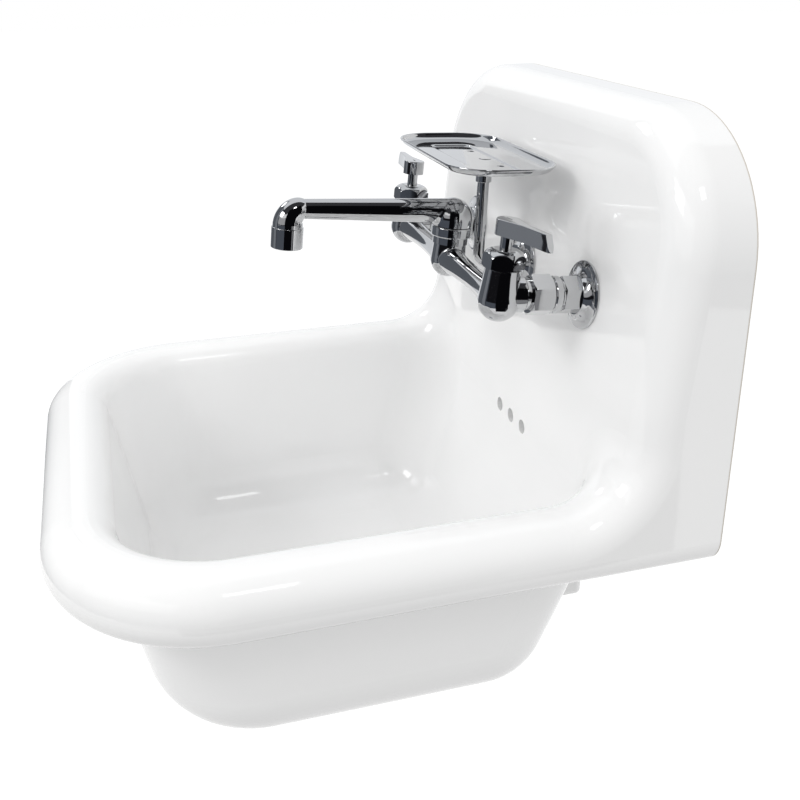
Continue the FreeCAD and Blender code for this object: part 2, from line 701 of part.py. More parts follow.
def supply_parts():
    """Union, shank, wall flange and rear nut of one supply, about the axis out from the panel."""
    clear = thread_clearance
    nut = chamfered_hexagon(union_nut_flats, union_nut_inner, union_nut_outer)
    seal_low = spigot_face - union_washer_thickness
    shoulder_low = seal_low - union_shoulder_thickness
    nut = nut.cut(rod(spigot_radius + clear, shoulder_low, union_nut_outer + overrun))
    nut = bored(nut, union_tail_radius + clear)
    seal = ring(union_shoulder_radius, union_tail_bore, seal_low, spigot_face)
    tail_end = shank_collar_outer - union_tail_grip
    tail = turned([(union_tail_bore, tail_end), (union_tail_radius, tail_end),
                   (union_tail_radius, shoulder_low), (union_shoulder_radius, shoulder_low),
                   (union_shoulder_radius, seal_low), (union_tail_bore, seal_low)])
    hex_outer = shank_collar_inner - shank_groove_width
    shank = rod(shank_collar_radius, shank_collar_inner, shank_collar_outer)
    shank = shank.makeChamfer(shank_collar_chamfer, [edge for edge in shank.Edges if edge.Closed])
    nut_face = -panel_wall - rear_washer_thickness
    nut_back = nut_face - rear_nut_thickness
    shank_end = nut_back - shank_relief_width - shank_free_length
    shank = shank.fuse([rod(shank_groove_radius, hex_outer - overrun, shank_collar_inner + overrun),
                        hexagon(shank_hex_flats, shank_hex_inner, hex_outer),
                        rod(shank_radius, shank_end, shank_hex_inner)])
    shank = bored(shank, shank_bore)
    shank = shank.cut(rod(union_tail_radius + clear, tail_end, shank_collar_outer + overrun))
    shank = shank.cut(ring(shank_radius + overrun, shank_radius - shank_relief_depth,
                           nut_back - shank_relief_width, nut_back))
    washer = ring(rear_washer_radius, shank_radius + clear, nut_face, -panel_wall)
    lock = bored(chamfered_hexagon(rear_nut_flats, nut_back, nut_face), shank_radius + clear)
    return {"union_nut": nut, "union_washer": seal, "union_tail": tail, "supply_shank": shank,
            "supply_flange": wall_flange(shank_radius + flange_clearance),
            "supply_rear_washer": washer, "supply_lock_nut": lock}


def wall_flange(bore):
    """Domed cover plate that stands on the panel, about the axis out from it."""
    height = shank_hex_inner
    rise = height - flange_edge
    slope = Part.Arc(V(flange_radius, 0, flange_edge),
                     V((flange_radius + flange_hub_radius) / 2 - flange_hollow, 0,
                       flange_edge + rise * flange_hollow_share),
                     V(flange_hub_radius, 0, height)).toShape()
    inner = flange_hub_radius - flange_wall
    points = [V(flange_hub_radius, 0, height), V(bore, 0, height), V(bore, 0, height - flange_wall),
              V(inner, 0, height - flange_wall), V(flange_radius - flange_foot_width, 0, 0),
              V(flange_radius, 0, 0), V(flange_radius, 0, flange_edge)]
    lines = [Part.LineSegment(a, b).toShape() for a, b in zip(points, points[1:])]
    return turned_wire([slope] + lines)


def bonnet():
    """Hexagonal bonnet with a domed top, about the valve's axis."""
    corner = bonnet_flats / math.sqrt(3)
    shoulder = bonnet_foot + bonnet_flat_height
    top = shoulder + bonnet_dome_height
    dome = Part.Arc(V(corner, 0, shoulder - bonnet_dome_height / 2),
                    V((corner + bonnet_collar_radius) / 2 + bonnet_dome_bulge, 0,
                      shoulder + bonnet_dome_height * bonnet_dome_share),
                    V(bonnet_collar_radius, 0, top)).toShape()
    chamfer = corner - bonnet_flats / 2
    points = [V(bonnet_collar_radius, 0, top), V(0, 0, top), V(0, 0, bonnet_foot),
              V(bonnet_flats / 2, 0, bonnet_foot), V(corner, 0, bonnet_foot + chamfer / 2),
              V(corner, 0, shoulder - bonnet_dome_height / 2)]
    lines = [Part.LineSegment(a, b).toShape() for a, b in zip(points, points[1:])]
    blank = turned_wire([dome] + lines)
    cap = hexagon(bonnet_flats, bonnet_foot, top, bonnet_turn).common(blank)
    cap = bored(cap, stem_radius + stem_clearance)
    return cap.cut(rod(packing_radius, bonnet_foot - overrun, bonnet_foot + packing_height))


def lever():
    """Flat lever pointing along +X from the stem's axis."""
    r = lever_hub_radius
    half_shoulder = lever_shoulder_width / 2
    half_tip = lever_tip_width / 2
    top = lever_level + lever_height
    tip = lever_length - half_tip
    hub = Part.Arc(V(0, r, 0), V(-r, 0, 0), V(0, -r, 0)).toShape()
    nose = Part.Arc(V(tip, -half_tip, 0), V(lever_length, 0, 0), V(tip, half_tip, 0)).toShape()
    lower = [V(0, -r, 0), V(lever_shoulder, -half_shoulder, 0), V(tip, -half_tip, 0)]
    upper = [V(tip, half_tip, 0), V(lever_shoulder, half_shoulder, 0), V(0, r, 0)]
    sides = [[Part.LineSegment(a, b).toShape() for a, b in zip(line, line[1:])] for line in (lower, upper)]
    wire = Part.Wire([hub] + sides[0] + [nose] + sides[1])
    blade = moved(Part.Face(wire).extrude(V(0, 0, lever_height)), 0, 0, lever_level)
    ends = [edge for edge in blade.Edges if abs(edge.CenterOfMass.z - top) < tolerance]
    blade = blade.makeFillet(lever_edge_radius, ends)
    step = lever_tip_slant / lever_height * overrun
    beyond = lever_length + lever_tip_slant
    points = [V(lever_length + step, -r, lever_level - overrun), V(beyond, -r, lever_level - overrun),
              V(beyond, -r, top + overrun), V(lever_length - lever_tip_slant - step, -r, top + overrun)]
    blade = blade.cut(polygon_prism(points, V(0, 2 * r, 0)))
    blade = blade.cut(rod(stem_radius, lever_level - overrun, lever_level + stem_socket))
    blade = blade.cut(rod(lever_screw_head_radius, top - lever_screw_head_height, top + overrun))
    return bored(blade, lever_screw_radius)


def valve_parts():
    """Bonnet, cartridge, packing, stem, lever and screw of one valve, about its axis."""
    cartridge_foot = bonnet_foot - cartridge_length
    stem_top = lever_level + stem_socket
    stem_foot = stem_top - stem_length
    cartridge = rod(cartridge_radius, cartridge_foot, bonnet_foot)
    socket_low = stem_foot - overrun
    cartridge = cartridge.cut(rod(stem_radius + stem_clearance, socket_low, bonnet_foot + overrun))
    window_reach = cartridge_radius + overrun
    window = moved(outward(rod(bridge_bore_radius, -window_reach, window_reach)), 0, 0, bridge_level)
    cartridge = cartridge.cut(window.common(rod(window_reach, cartridge_foot, socket_low)))
    packing = ring(packing_radius, stem_radius + stem_clearance, bonnet_foot, bonnet_foot + packing_height)
    stem = rod(stem_radius, stem_foot, stem_top)
    lever_top = lever_level + lever_height
    screw_low = lever_top - lever_screw_head_height
    stem = stem.cut(rod(lever_screw_radius, screw_low - lever_screw_length, stem_top + overrun))
    screw = rod(lever_screw_head_radius, screw_low, lever_top).fuse(
        rod(lever_screw_radius, screw_low - lever_screw_length, screw_low))
    half_slot = screw_slot_width / 2
    slot = box((-lever_screw_head_radius, -half_slot, lever_top - screw_slot_depth),
               (lever_screw_head_radius, half_slot, lever_top + overrun))
    return {"bonnet": bonnet(), "cartridge": cartridge, "packing_ring": packing,
            "stem": stem, "lever": lever(), "lever_screw": screw.cut(slot)}


def spout_tube(shrink):
    """Spout's root, tube and outlet bend, made thinner by shrink."""
    start = V(0, 0, spout_line_level)
    run = spout_reach - spout_bend_radius
    end = V(0, -run, spout_line_level - spout_fall)
    along = end - start
    tube = Part.makeCone(spout_root_tube_radius - shrink, spout_tip_tube_radius - shrink,
                         along.Length, start, along)
    centre = end - V(0, 0, spout_bend_radius)
    widening = spout_outlet_radius - spout_tip_tube_radius
    wires = []
    for i in range(spout_bend_sections):
        share = i / (spout_bend_sections - 1)
        angle = math.radians(90 * share)
        out = V(0, -math.sin(angle), math.cos(angle))
        radius = spout_tip_tube_radius + widening * math.sqrt(share) - shrink
        direction = V(0, -math.cos(angle), -math.sin(angle))
        circle = Part.Circle(centre + out * spout_bend_radius, direction, radius)
        wires.append(Part.Wire(circle.toShape()))
    bend = Part.makeLoft(wires, True)
    outlet = rod(spout_outlet_radius - shrink, spout_outlet_level, centre.z + overrun)
    return tube.fuse([bend, moved(outlet, 0, -spout_reach)])


def spout_parts():
    """Spout, swivel nut, seal and aerator, about the spout's axis."""
    nut_low = hub_top
    nut_high = nut_low + swivel_nut_height
    root_low = nut_high + swivel_gap
    dome_top = spout_line_level + spout_root_tube_radius + spout_root_rise
    dome_level = dome_top - spout_root_radius
    dome = Part.makeSphere(spout_root_radius, V(0, 0, dome_level), V(0, 0, 1), 0, 90)
    root = rod(spout_root_radius, root_low, dome_level).fuse(dome).removeSplitter()
    stem_low = hub_top - spout_stem_drop
    stem = rod(spout_stem_radius, stem_low, root_low)
    groove = ring(spout_stem_radius + overrun, spout_stem_radius - o_ring_radius,
                  hub_top - o_ring_drop - o_ring_radius, hub_top - o_ring_drop + o_ring_radius)
    thread_low = spout_outlet_level - aerator_thread_length
    thread = rod(spout_thread_radius, thread_low, spout_outlet_level)
    spout = blended([spout_tube(0), root], spout_blend_radius)
    spout = spout.fuse([stem, moved(thread, 0, -spout_reach)])
    bore = rod(spout_stem_radius - spout_wall, stem_low - overrun, spout_line_level)
    outlet_bore = rod(spout_outlet_radius - spout_wall, thread_low - overrun, spout_outlet_level + overrun)
    spout = spout.cut(spout_tube(spout_wall)).cut(bore).cut(moved(outlet_bore, 0, -spout_reach)).cut(groove)
    seal = ring(spout_stem_radius, spout_stem_radius - o_ring_radius,
                hub_top - o_ring_drop - o_ring_radius, hub_top - o_ring_drop + o_ring_radius)
    thread_top = hub_top + hub_thread_height
    nut = rod(swivel_nut_radius, nut_low, nut_high)
    nut = nut.makeChamfer(swivel_nut_chamfer, [edge for edge in nut.Edges if edge.Closed])
    nut = nut.cut(rod(hub_thread_radius + thread_clearance, nut_low - overrun, thread_top))
    nut = bored(nut, spout_stem_radius + spout_stem_clearance)
    return {"spout": spout, "spout_o_ring": seal, "swivel_nut": nut, **aerator_parts()}


def aerator_parts():
    """Screwed outlet with its washer and screen, about the spout's axis."""
    top = spout_outlet_level
    low = top - aerator_height
    inner = spout_thread_radius + thread_clearance
    mouth = inner - aerator_lip
    housing = turned([(mouth, low), (aerator_radius, low), (aerator_radius, top), (inner, top),
                      (inner, low + aerator_lip), (mouth, low + aerator_lip)])
    washer_top = spout_outlet_level - aerator_thread_length
    washer_low = washer_top - aerator_washer_thickness
    washer = ring(spout_thread_radius, aerator_washer_bore, washer_low, washer_top)
    hole = rod(aerator_hole_radius, low, washer_top)
    screen = rod(spout_thread_radius, low + aerator_lip, washer_low).cut(hole)
    for i in range(aerator_hole_count):
        screen = screen.cut(rotated(moved(hole, aerator_hole_ring), 360 / aerator_hole_count * i, V(0, 0, 1)))
    parts = {"aerator_housing": housing, "aerator_washer": washer, "aerator_screen": screen}
    return {name: moved(shape, 0, -spout_reach) for name, shape in parts.items()}


def rounded_rectangle(length, width, radius, level):
    """Wire of a rectangle with round corners, centred on Z."""
    a = length / 2
    b = width / 2
    k = radius * (1 - math.sqrt(0.5))
    edges = []
    for turn in range(4):
        x, y = (a, b) if turn % 2 == 0 else (b, a)
        line = Part.LineSegment(V(x, -y + radius, level), V(x, y - radius, level)).toShape()
        arc = Part.Arc(V(x, y - radius, level), V(x - k, y - k, level), V(x - radius, y, level)).toShape()
        edges += [rotated(line, 90 * turn, V(0, 0, 1)), rotated(arc, 90 * turn, V(0, 0, 1))]
    return Part.Wire(Part.__sortEdges__(edges))


def tray(grow, low, high):
    """Solid that flares gently from the dish's floor and then steeply to its rim, made larger by grow."""
    insets = [dish_lip + dish_flare, dish_lip + dish_wall_width, dish_lip]
    radii = [dish_floor_corner_radius, dish_corner_radius - dish_wall_width, dish_corner_radius - dish_lip]
    levels = [low, low + dish_slope_rise, high]
    wires = []
    for inset, radius, level in zip(insets, radii, levels):
        margin = 2 * (inset - grow)
        wires.append(rounded_rectangle(dish_length - margin, dish_width - margin, radius + grow, level))
    return Part.makeLoft(wires, True, True)


def dish_parts():
    """Soap dish on its bent rod, square to the panel."""
    corner = V(0, -dish_rod_reach, dish_rod_level)
    lean = math.radians(dish_post_turn)
    out = V(0, -1, 0)
    rise = V(0, -math.sin(lean), math.cos(lean))
    half_turn = (math.pi / 2 - lean) / 2
    tangent = dish_rod_bend_radius * math.tan(half_turn)
    first = corner - out * tangent
    last = corner + rise * tangent
    inward = rise - out
    centre = corner + inward * (dish_rod_bend_radius / math.cos(half_turn) / inward.Length)
    middle = centre + (corner - centre) * (dish_rod_bend_radius / (corner - centre).Length)
    back = V(0, dish_rod_back_length, dish_rod_level)
    top = corner + rise * dish_post_height
    path = Part.Wire([Part.LineSegment(back, first).toShape(), Part.Arc(first, middle, last).toShape(),
                      Part.LineSegment(last, top).toShape()])
    section = Part.Wire(Part.Circle(back, out, dish_rod_radius).toShape())
    bracket = path.makePipeShell([section], True, False)

    def on_post(shape):
        """Set a shape made about Z, with the post's top at zero, on the leaning post."""
        turned_shape = rotated(shape, dish_post_turn, V(1, 0, 0))
        return moved(turned_shape, 0, top.y, top.z)

    screw_hole = rod(dish_screw_radius, -dish_screw_length, dish_sheet + overrun)
    bracket = bracket.cut(on_post(screw_hole))
    hole_radius = dish_rod_radius + thread_clearance
    collar = ring(dish_collar_radius, hole_radius, -dish_collar_height, 0)
    floor = dish_sheet
    outside = tray(0, 0, dish_depth)
    inside = tray(-dish_sheet, floor, dish_depth)
    edge = rounded_rectangle(dish_length, dish_width, dish_corner_radius, dish_depth - dish_skirt)
    lip = Part.Face(edge).extrude(V(0, 0, dish_skirt))
    skirt = rounded_rectangle(dish_length - 2 * dish_sheet, dish_width - 2 * dish_sheet,
                              dish_corner_radius - dish_sheet, dish_depth - dish_skirt - overrun)
    lip = lip.cut(Part.Face(skirt).extrude(V(0, 0, dish_skirt - dish_sheet + overrun)))
    dish = moved(outside.fuse(lip).cut(inside), 0, -dish_forward)
    dish = dish.cut(screw_hole)
    for x in (-dish_drain_offset, dish_drain_offset):
        dish = dish.cut(moved(rod(dish_drain_radius, -overrun, dish_depth), x))
    screw = rod(dish_screw_head_radius, floor, floor + dish_screw_head_height).fuse(
        rod(dish_screw_radius, -dish_screw_length, floor))
    nut_face = -panel_wall - dish_washer_thickness
    washer = ring(dish_washer_radius, hole_radius, nut_face, -panel_wall)
    nut = bored(chamfered_hexagon(dish_nut_flats, nut_face - dish_nut_thickness, nut_face), hole_radius)
    rear = {"dish_bracket_flange": wall_flange(dish_rod_radius + flange_clearance),
            "dish_bracket_washer": washer, "dish_bracket_nut": nut}
    parts = {name: moved(outward(shape), 0, 0, dish_rod_level) for name, shape in rear.items()}
    parts.update({"dish_bracket": bracket, "dish_collar": on_post(collar),
                  "soap_dish": on_post(dish), "dish_screw": on_post(screw)})
    return parts


def all_parts():
    """Every piece by name, in the sink's frame."""
    parts = {"basin": basin(), "wall_hanger": wall_hanger()}
    parts.update(drain_parts())
    parts["faucet_body"] = on_panel(faucet_body())
    supply = supply_parts()
    valve = valve_parts()
    turns = {"left": 180 - lever_left_turn, "right": lever_right_turn}
    for side, x in (("left", -half_spacing), ("right", half_spacing)):
        for name, shape in supply.items():
            parts[name + "_" + side] = on_panel(moved(outward(shape), x))
        for name, shape in valve.items():
            aimed = rotated(shape, turns[side], V(0, 0, 1)) if name in ("lever", "lever_screw") else shape
            parts[name + "_" + side] = on_panel(moved(aimed, x, -valve_reach))
    for name, shape in spout_parts().items():
        parts[name] = on_panel(moved(shape, 0, -valve_reach))
    for name, shape in dish_parts().items():
        parts[name] = on_panel(shape)
    return parts


os.makedirs("parts", exist_ok=True)
for node, solid in all_parts().items():
    solid.exportStep(os.path.join("parts", node + ".step"))
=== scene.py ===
import json
import math

import bmesh
import bpy
from bpy.props import FloatProperty, FloatVectorProperty, IntProperty, PointerProperty
from mathutils import Matrix, Vector


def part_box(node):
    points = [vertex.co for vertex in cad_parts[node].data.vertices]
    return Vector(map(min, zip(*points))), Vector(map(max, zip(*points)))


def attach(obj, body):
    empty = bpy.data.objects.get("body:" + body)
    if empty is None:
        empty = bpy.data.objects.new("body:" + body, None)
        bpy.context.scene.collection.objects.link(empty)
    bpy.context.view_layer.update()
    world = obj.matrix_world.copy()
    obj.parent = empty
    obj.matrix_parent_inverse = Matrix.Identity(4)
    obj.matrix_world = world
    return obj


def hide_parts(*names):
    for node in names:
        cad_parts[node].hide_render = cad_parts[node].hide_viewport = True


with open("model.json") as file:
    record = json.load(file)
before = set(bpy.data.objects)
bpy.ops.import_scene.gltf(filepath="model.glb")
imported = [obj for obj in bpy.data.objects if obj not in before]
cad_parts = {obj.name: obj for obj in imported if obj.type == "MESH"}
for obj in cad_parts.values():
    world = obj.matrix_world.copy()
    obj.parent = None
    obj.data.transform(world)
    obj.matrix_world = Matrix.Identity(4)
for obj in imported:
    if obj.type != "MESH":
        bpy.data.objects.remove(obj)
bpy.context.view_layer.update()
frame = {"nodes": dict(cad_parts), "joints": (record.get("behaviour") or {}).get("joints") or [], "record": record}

bl_info = {
    "name": "Wall-mounted sink finisher",
    "version": (1, 0, 0),
    "blender": (4, 5, 0),
    "location": "View3D > Sidebar > Sink",
    "description": "Finishes a wall-mounted sink: glaze, plated faucet, fixings, seals and a studio stage",
    "category": "Object",
}

# Finishes, mounts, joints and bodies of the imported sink, by name
slot_of = {row["node"]: row["material_slot"] for row in frame["record"]["subparts"]}
mounts = {mount["name"]: mount for mount in frame["record"]["mounts"]}
joints = {joint["name"]: joint for joint in frame["joints"]}
body_of = {node: body for body, nodes in frame["record"]["behaviour"]["bodies"].items() for node in nodes}

# Names and measures that several pieces share
sides = ("left", "right")
plate_name = "Polished chrome plate"
steel_name = "Zinc-grey steel"
upright = Vector((0, 0, 1))
millimetres = 1000  # in a metre

# Limits of the mesh work
merge_gap = 1e-6  # points of a node's mesh that are closer are one point
thread_gap = 1e-7  # the same for a thread
flat_angle = math.radians(0.5)  # faces that meet at less are one face
buffed_angle = math.radians(35)  # edges that turn more are rounded
punched_angle = math.radians(40)  # edges that turn more stay sharp on the dish

# Steps round the small and the curved pieces, and how far a hole is cut
hole_reach = 4  # depths of the dish
hole_steps = 32
wire_steps = 6
corner_steps = 10
screen_steps = 24

# Sockets of a colour mix: its two colours and its result
color_a, color_b, color_result = 6, 7, 2


class GlazeSettings(bpy.types.PropertyGroup):
    """Finish of the basin's glaze."""

    color: FloatVectorProperty(
        name="Colour", description="Fired glaze", subtype="COLOR", size=3, min=0, max=1,
        default=(0.93, 0.93, 0.928))
    thin_color: FloatVectorProperty(
        name="Thin colour", description="Glaze where it ran a little thinner", subtype="COLOR", size=3,
        min=0, max=1, default=(0.91, 0.912, 0.912))
    bare_color: FloatVectorProperty(
        name="Bare colour", description="Unglazed edge against the wall", subtype="COLOR", size=3,
        min=0, max=1, default=(0.62, 0.58, 0.52))
    roughness: FloatProperty(
        name="Roughness", description="Roughness of clean glaze", subtype="FACTOR", min=0, max=1,
        default=0.03)
    marked_roughness: FloatProperty(
        name="Marked roughness", description="Roughness of smeared glaze", subtype="FACTOR", min=0, max=1,
        default=0.054)
    ripple: FloatProperty(
        name="Ripple", description="Height of the waves left in the fired glaze", unit="LENGTH",
        min=0, default=0.00006, precision=5)
    bare_depth: FloatProperty(
        name="Bare depth", description="How far the unglazed edge reaches out from the wall", unit="LENGTH",
        min=0, default=0.0012, precision=5)


class MetalSettings(bpy.types.PropertyGroup):
    """Finishes of the metal pieces."""

    chrome_color: FloatVectorProperty(
        name="Chrome", description="Polished plate", subtype="COLOR", size=3, min=0, max=1,
        default=(0.56, 0.565, 0.575))
    chrome_roughness: FloatProperty(
        name="Chrome roughness", description="Roughness of clean plate", subtype="FACTOR", min=0, max=1,
        default=0.035)
    chrome_marked: FloatProperty(
        name="Marked chrome", description="Roughness of smeared plate", subtype="FACTOR", min=0, max=1,
        default=0.091)
    chrome_ripple: FloatProperty(
        name="Chrome ripple", description="Height of the waves left by polishing", unit="LENGTH", min=0,
        default=0.00002, precision=6)
    steel_color: FloatVectorProperty(
        name="Steel", description="Zinc-grey steel", subtype="COLOR", size=3, min=0, max=1,
        default=(0.55, 0.55, 0.56))
    brass_color: FloatVectorProperty(
        name="Brass", description="Turned brass", subtype="COLOR", size=3, min=0, max=1,
        default=(0.70, 0.50, 0.22))
    grain: FloatProperty(
        name="Grain", description="Height of the tool marks in steel and brass", unit="LENGTH", min=0,
        default=0.00003, precision=6)
    edge_width: FloatProperty(
        name="Edge width", description="Softened width of the metal's edges", unit="LENGTH", min=0,
        default=0.0004, precision=5)
    lever_edge_width: FloatProperty(
        name="Lever edge width", description="Softened width of the levers' edges", unit="LENGTH", min=0,
        default=0.0003, precision=5)
    edge_segments: IntProperty(
        name="Edge segments", description="Steps across a softened edge", min=1, max=6, default=2)


class SealSettings(bpy.types.PropertyGroup):
    """Finish of the seals."""

    color: FloatVectorProperty(
        name="Rubber", description="Moulded rubber", subtype="COLOR", size=3, min=0, max=1,
        default=(0.045, 0.045, 0.047))
    roughness: FloatProperty(
        name="Roughness", description="Roughness of the rubber", subtype="FACTOR", min=0, max=1,
        default=0.6)
    dusty_roughness: FloatProperty(
        name="Dusty roughness", description="Roughness of dusty rubber", subtype="FACTOR", min=0, max=1,
        default=0.78)
    grain: FloatProperty(
        name="Grain", description="Height of the rubber's grain", unit="LENGTH", min=0, default=0.00005,
        precision=6)


class ThreadSettings(bpy.types.PropertyGroup):
    """Cut threads and the outlet's wire screen."""

    shank_pitch: FloatProperty(
        name="Shank pitch", description="Rise of one turn on a supply shank", unit="LENGTH", min=0.0005,
        default=0.0018, precision=5)
    drain_pitch: FloatProperty(
        name="Drain pitch", description="Rise of one turn on the drain's tube", unit="LENGTH", min=0.0005,
        default=0.0014, precision=5)
    rod_pitch: FloatProperty(
        name="Rod pitch", description="Rise of one turn on the dish's rod", unit="LENGTH", min=0.0005,
        default=0.0012, precision=5)
    crest: FloatProperty(
        name="Crest", description="How far a thread stands out, as a share of its pitch", subtype="FACTOR",
        min=0, max=1, default=0.16)
    sink: FloatProperty(
        name="Sink", description="How far a thread's root sits in the metal", unit="LENGTH", min=0,
        default=0.00005, precision=6)
    fit: FloatProperty(
        name="Fit", description="Gap between a thread's rod and the ring or nut on it", unit="LENGTH", min=0,
        default=0.0001, precision=5)
    steps: IntProperty(
        name="Steps", description="Sections in one turn of a thread", min=12, max=96, default=40)
    wire_pitch: FloatProperty(
        name="Wire pitch", description="Distance between the screen's wires", unit="LENGTH", min=0.0003,
        default=0.0011, precision=5)
    wire_radius: FloatProperty(
        name="Wire radius", description="Radius of the screen's wires", unit="LENGTH", min=0.00005,
        default=0.00016, precision=6)
    wire_margin: FloatProperty(
        name="Wire margin", description="How far the wires stop inside the screen's edge", unit="LENGTH",
        min=0, default=0.0016, precision=5)
    wire_lifts: FloatVectorProperty(
        name="Wire lifts", description="Layers of wire under the screen's disc, in wire radii", size=2, min=0,
        default=(1.0, 2.4))


class DishSettings(bpy.types.PropertyGroup):
    """Pressed soap dish."""

    depth: FloatProperty(
        name="Depth", description="Floor's underside to the top of the rolled edge", unit="LENGTH", min=0.001,
        default=0.0074, precision=5)
    sheet: FloatProperty(
        name="Sheet", description="Thickness of the pressed sheet", unit="LENGTH", min=0.0002, default=0.0008,
        precision=5)
    skirt: FloatProperty(
        name="Skirt", description="How far the edge turns down", unit="LENGTH", min=0, default=0.0016,
        precision=5)
    corner: FloatProperty(
        name="Corner", description="Radius of the dish's corners", unit="LENGTH", min=0.001, default=0.030)
    tilt: FloatProperty(
        name="Tilt", description="How the dish leans on its post", subtype="ANGLE",
        default=math.radians(-2.55))
    hole_radius: FloatProperty(
        name="Hole radius", description="Radius of the drain holes", unit="LENGTH", min=0.0005,
        default=0.0025, precision=5)
    hole_offset: FloatProperty(
        name="Hole offset", description="Drain holes each side of the post", unit="LENGTH", min=0,
        default=0.030)
    head: FloatProperty(
        name="Head", description="Height of the screw's flat head over the floor", unit="LENGTH",
        min=0.0001, default=0.0003, precision=5)
    head_edge: FloatProperty(
        name="Head edge", description="Softened width of the screw head's edge", unit="LENGTH", min=0,
        default=0.0001, precision=5)


class StageSettings(bpy.types.PropertyGroup):
    """Studio round the sink."""

    floor_level: FloatProperty(
        name="Floor level", description="Height of the floor", unit="LENGTH", default=-2.4)
    floor_size: FloatProperty(
        name="Floor size", description="Half the floor's side", unit="LENGTH", min=1, default=40.0)
    floor_color: FloatVectorProperty(
        name="Floor", description="Pale floor", subtype="COLOR", size=3, min=0, max=1,
        default=(0.50, 0.50, 0.50))
    fill: FloatProperty(
        name="Fill", description="Strength of the even light from all sides", min=0, default=0.79)
    ceiling_level: FloatProperty(
        name="Ceiling level", description="Height of the sheets overhead", unit="LENGTH", default=2.6)
    ceiling_size: FloatVectorProperty(
        name="Ceiling size", description="Half the width and half the length of a sheet overhead",
        unit="LENGTH", size=2, min=0.1, default=(1.6, 3.2))
    floor_lift: FloatProperty(
        name="Floor lift", description="Glow that brings the floor up to white for the camera", min=0,
        default=0.66)
    screen_reach: FloatProperty(
        name="Screen reach", description="Distance from the sink to the studio's screens", unit="LENGTH",
        min=0.5, default=2.3)
    camera_place: FloatVectorProperty(
        name="Camera", description="Where the camera stands", subtype="TRANSLATION", size=3,
        default=(0.675825, -0.352238, 0.159935))
    camera_turn: FloatVectorProperty(
        name="Camera turn", description="How the camera is turned", subtype="EULER", size=3,
        default=(math.radians(65.7004), math.radians(0.3349), math.radians(73.4899)))
    camera_lens: FloatProperty(
        name="Lens", description="Focal length in millimetres", min=1, default=44.6008)
    camera_sensor: FloatProperty(
        name="Sensor", description="Width of the camera's sensor in millimetres", min=1, default=36.0)


def nodes_of(finish):
    """Names of the nodes that take a finish."""
    return sorted(node for node, slot in slot_of.items() if slot == finish)


def middle_of(node):
    """Middle of a node's box."""
    low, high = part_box(node)
    return (low + high) / 2


def furthest(node, axis):
    """Furthest reach of a node along a direction."""
    return max(axis.dot(vertex.co) for vertex in frame["nodes"][node].data.vertices)


def slid_to(point, axis, level):
    """Point slid along a direction until it stands at a level on it."""
    return point + axis * (level - axis.dot(point))


def bore_radius(node, axis):
    """Radius of the hole through a ring or nut, about its own middle."""
    middle = middle_of(node)
    offsets = [vertex.co - middle for vertex in frame["nodes"][node].data.vertices]
    return min((offset - axis * axis.dot(offset)).length for offset in offsets)


def object_from(bm, name, material):
    """Turn a bmesh in the sink's frame into a named object."""
    mesh = bpy.data.meshes.new(name)
    bm.to_mesh(mesh)
    bm.free()
    mesh.materials.append(material)
    made = bpy.data.objects.new(name, mesh)
    bpy.context.scene.collection.objects.link(made)
    return made


def new_piece(bm, name, body, material):
    """Turn a bmesh in the sink's frame into a piece that rides on a body."""
    piece = object_from(bm, name, material)
    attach(piece, body)
    return piece


def fill_inputs(tree, node, inputs):
    """Fill a node's inputs with values or links."""
    for key, value in inputs.items():
        if isinstance(value, bpy.types.NodeSocket):
            tree.links.new(value, node.inputs[key])
        else:
            node.inputs[key].default_value = value


def add_node(tree, kind, inputs=None, **settings):
    """Add a node, set its options and fill its inputs."""
    node = tree.nodes.new(kind)
    for key, value in settings.items():
        setattr(node, key, value)
    fill_inputs(tree, node, inputs or {})
    return node


def mix_colors(tree, factor, first, second):
    """Colour between two others, by a factor from 0 to 1."""
    mix = add_node(tree, "ShaderNodeMix", {"Factor": factor, color_a: first, color_b: second},
                   data_type="RGBA")
    return mix.outputs[color_result]


def new_group(name, inputs, outputs):
    """Start a shader node group with named sockets, and return it with its input and output nodes."""
    tree = bpy.data.node_groups.new(name, "ShaderNodeTree")
    for socket, kind, default in inputs:
        made = tree.interface.new_socket(socket, in_out="INPUT", socket_type=kind)
        made.default_value = default
    for socket, kind in outputs:
        tree.interface.new_socket(socket, in_out="OUTPUT", socket_type=kind)
    return tree, tree.nodes.new("NodeGroupInput"), tree.nodes.new("NodeGroupOutput")


def tone_drift_group():
    """Colour that wanders slowly between two tones over the surface."""
    name = "Tone drift"
    if name in bpy.data.node_groups:
        return bpy.data.node_groups[name]
    tree, given, out = new_group(
        name,
        [("Place", "NodeSocketVector", (0, 0, 0)), ("Scale", "NodeSocketFloat", 8.0),
         ("First", "NodeSocketColor", (1, 1, 1, 1)), ("Second", "NodeSocketColor", (0.9, 0.9, 0.9, 1))],
        [("Color", "NodeSocketColor")])
    noise = add_node(tree, "ShaderNodeTexNoise",
                     {"Vector": given.outputs["Place"], "Scale": given.outputs["Scale"], "Detail": 3.0})
    spread = add_node(tree, "ShaderNodeMapRange",
                      {"Value": noise.outputs["Fac"], "From Min": 0.3, "From Max": 0.7})
    color = mix_colors(tree, spread.outputs["Result"], given.outputs["First"], given.outputs["Second"])
    tree.links.new(color, out.inputs["Color"])
    return tree


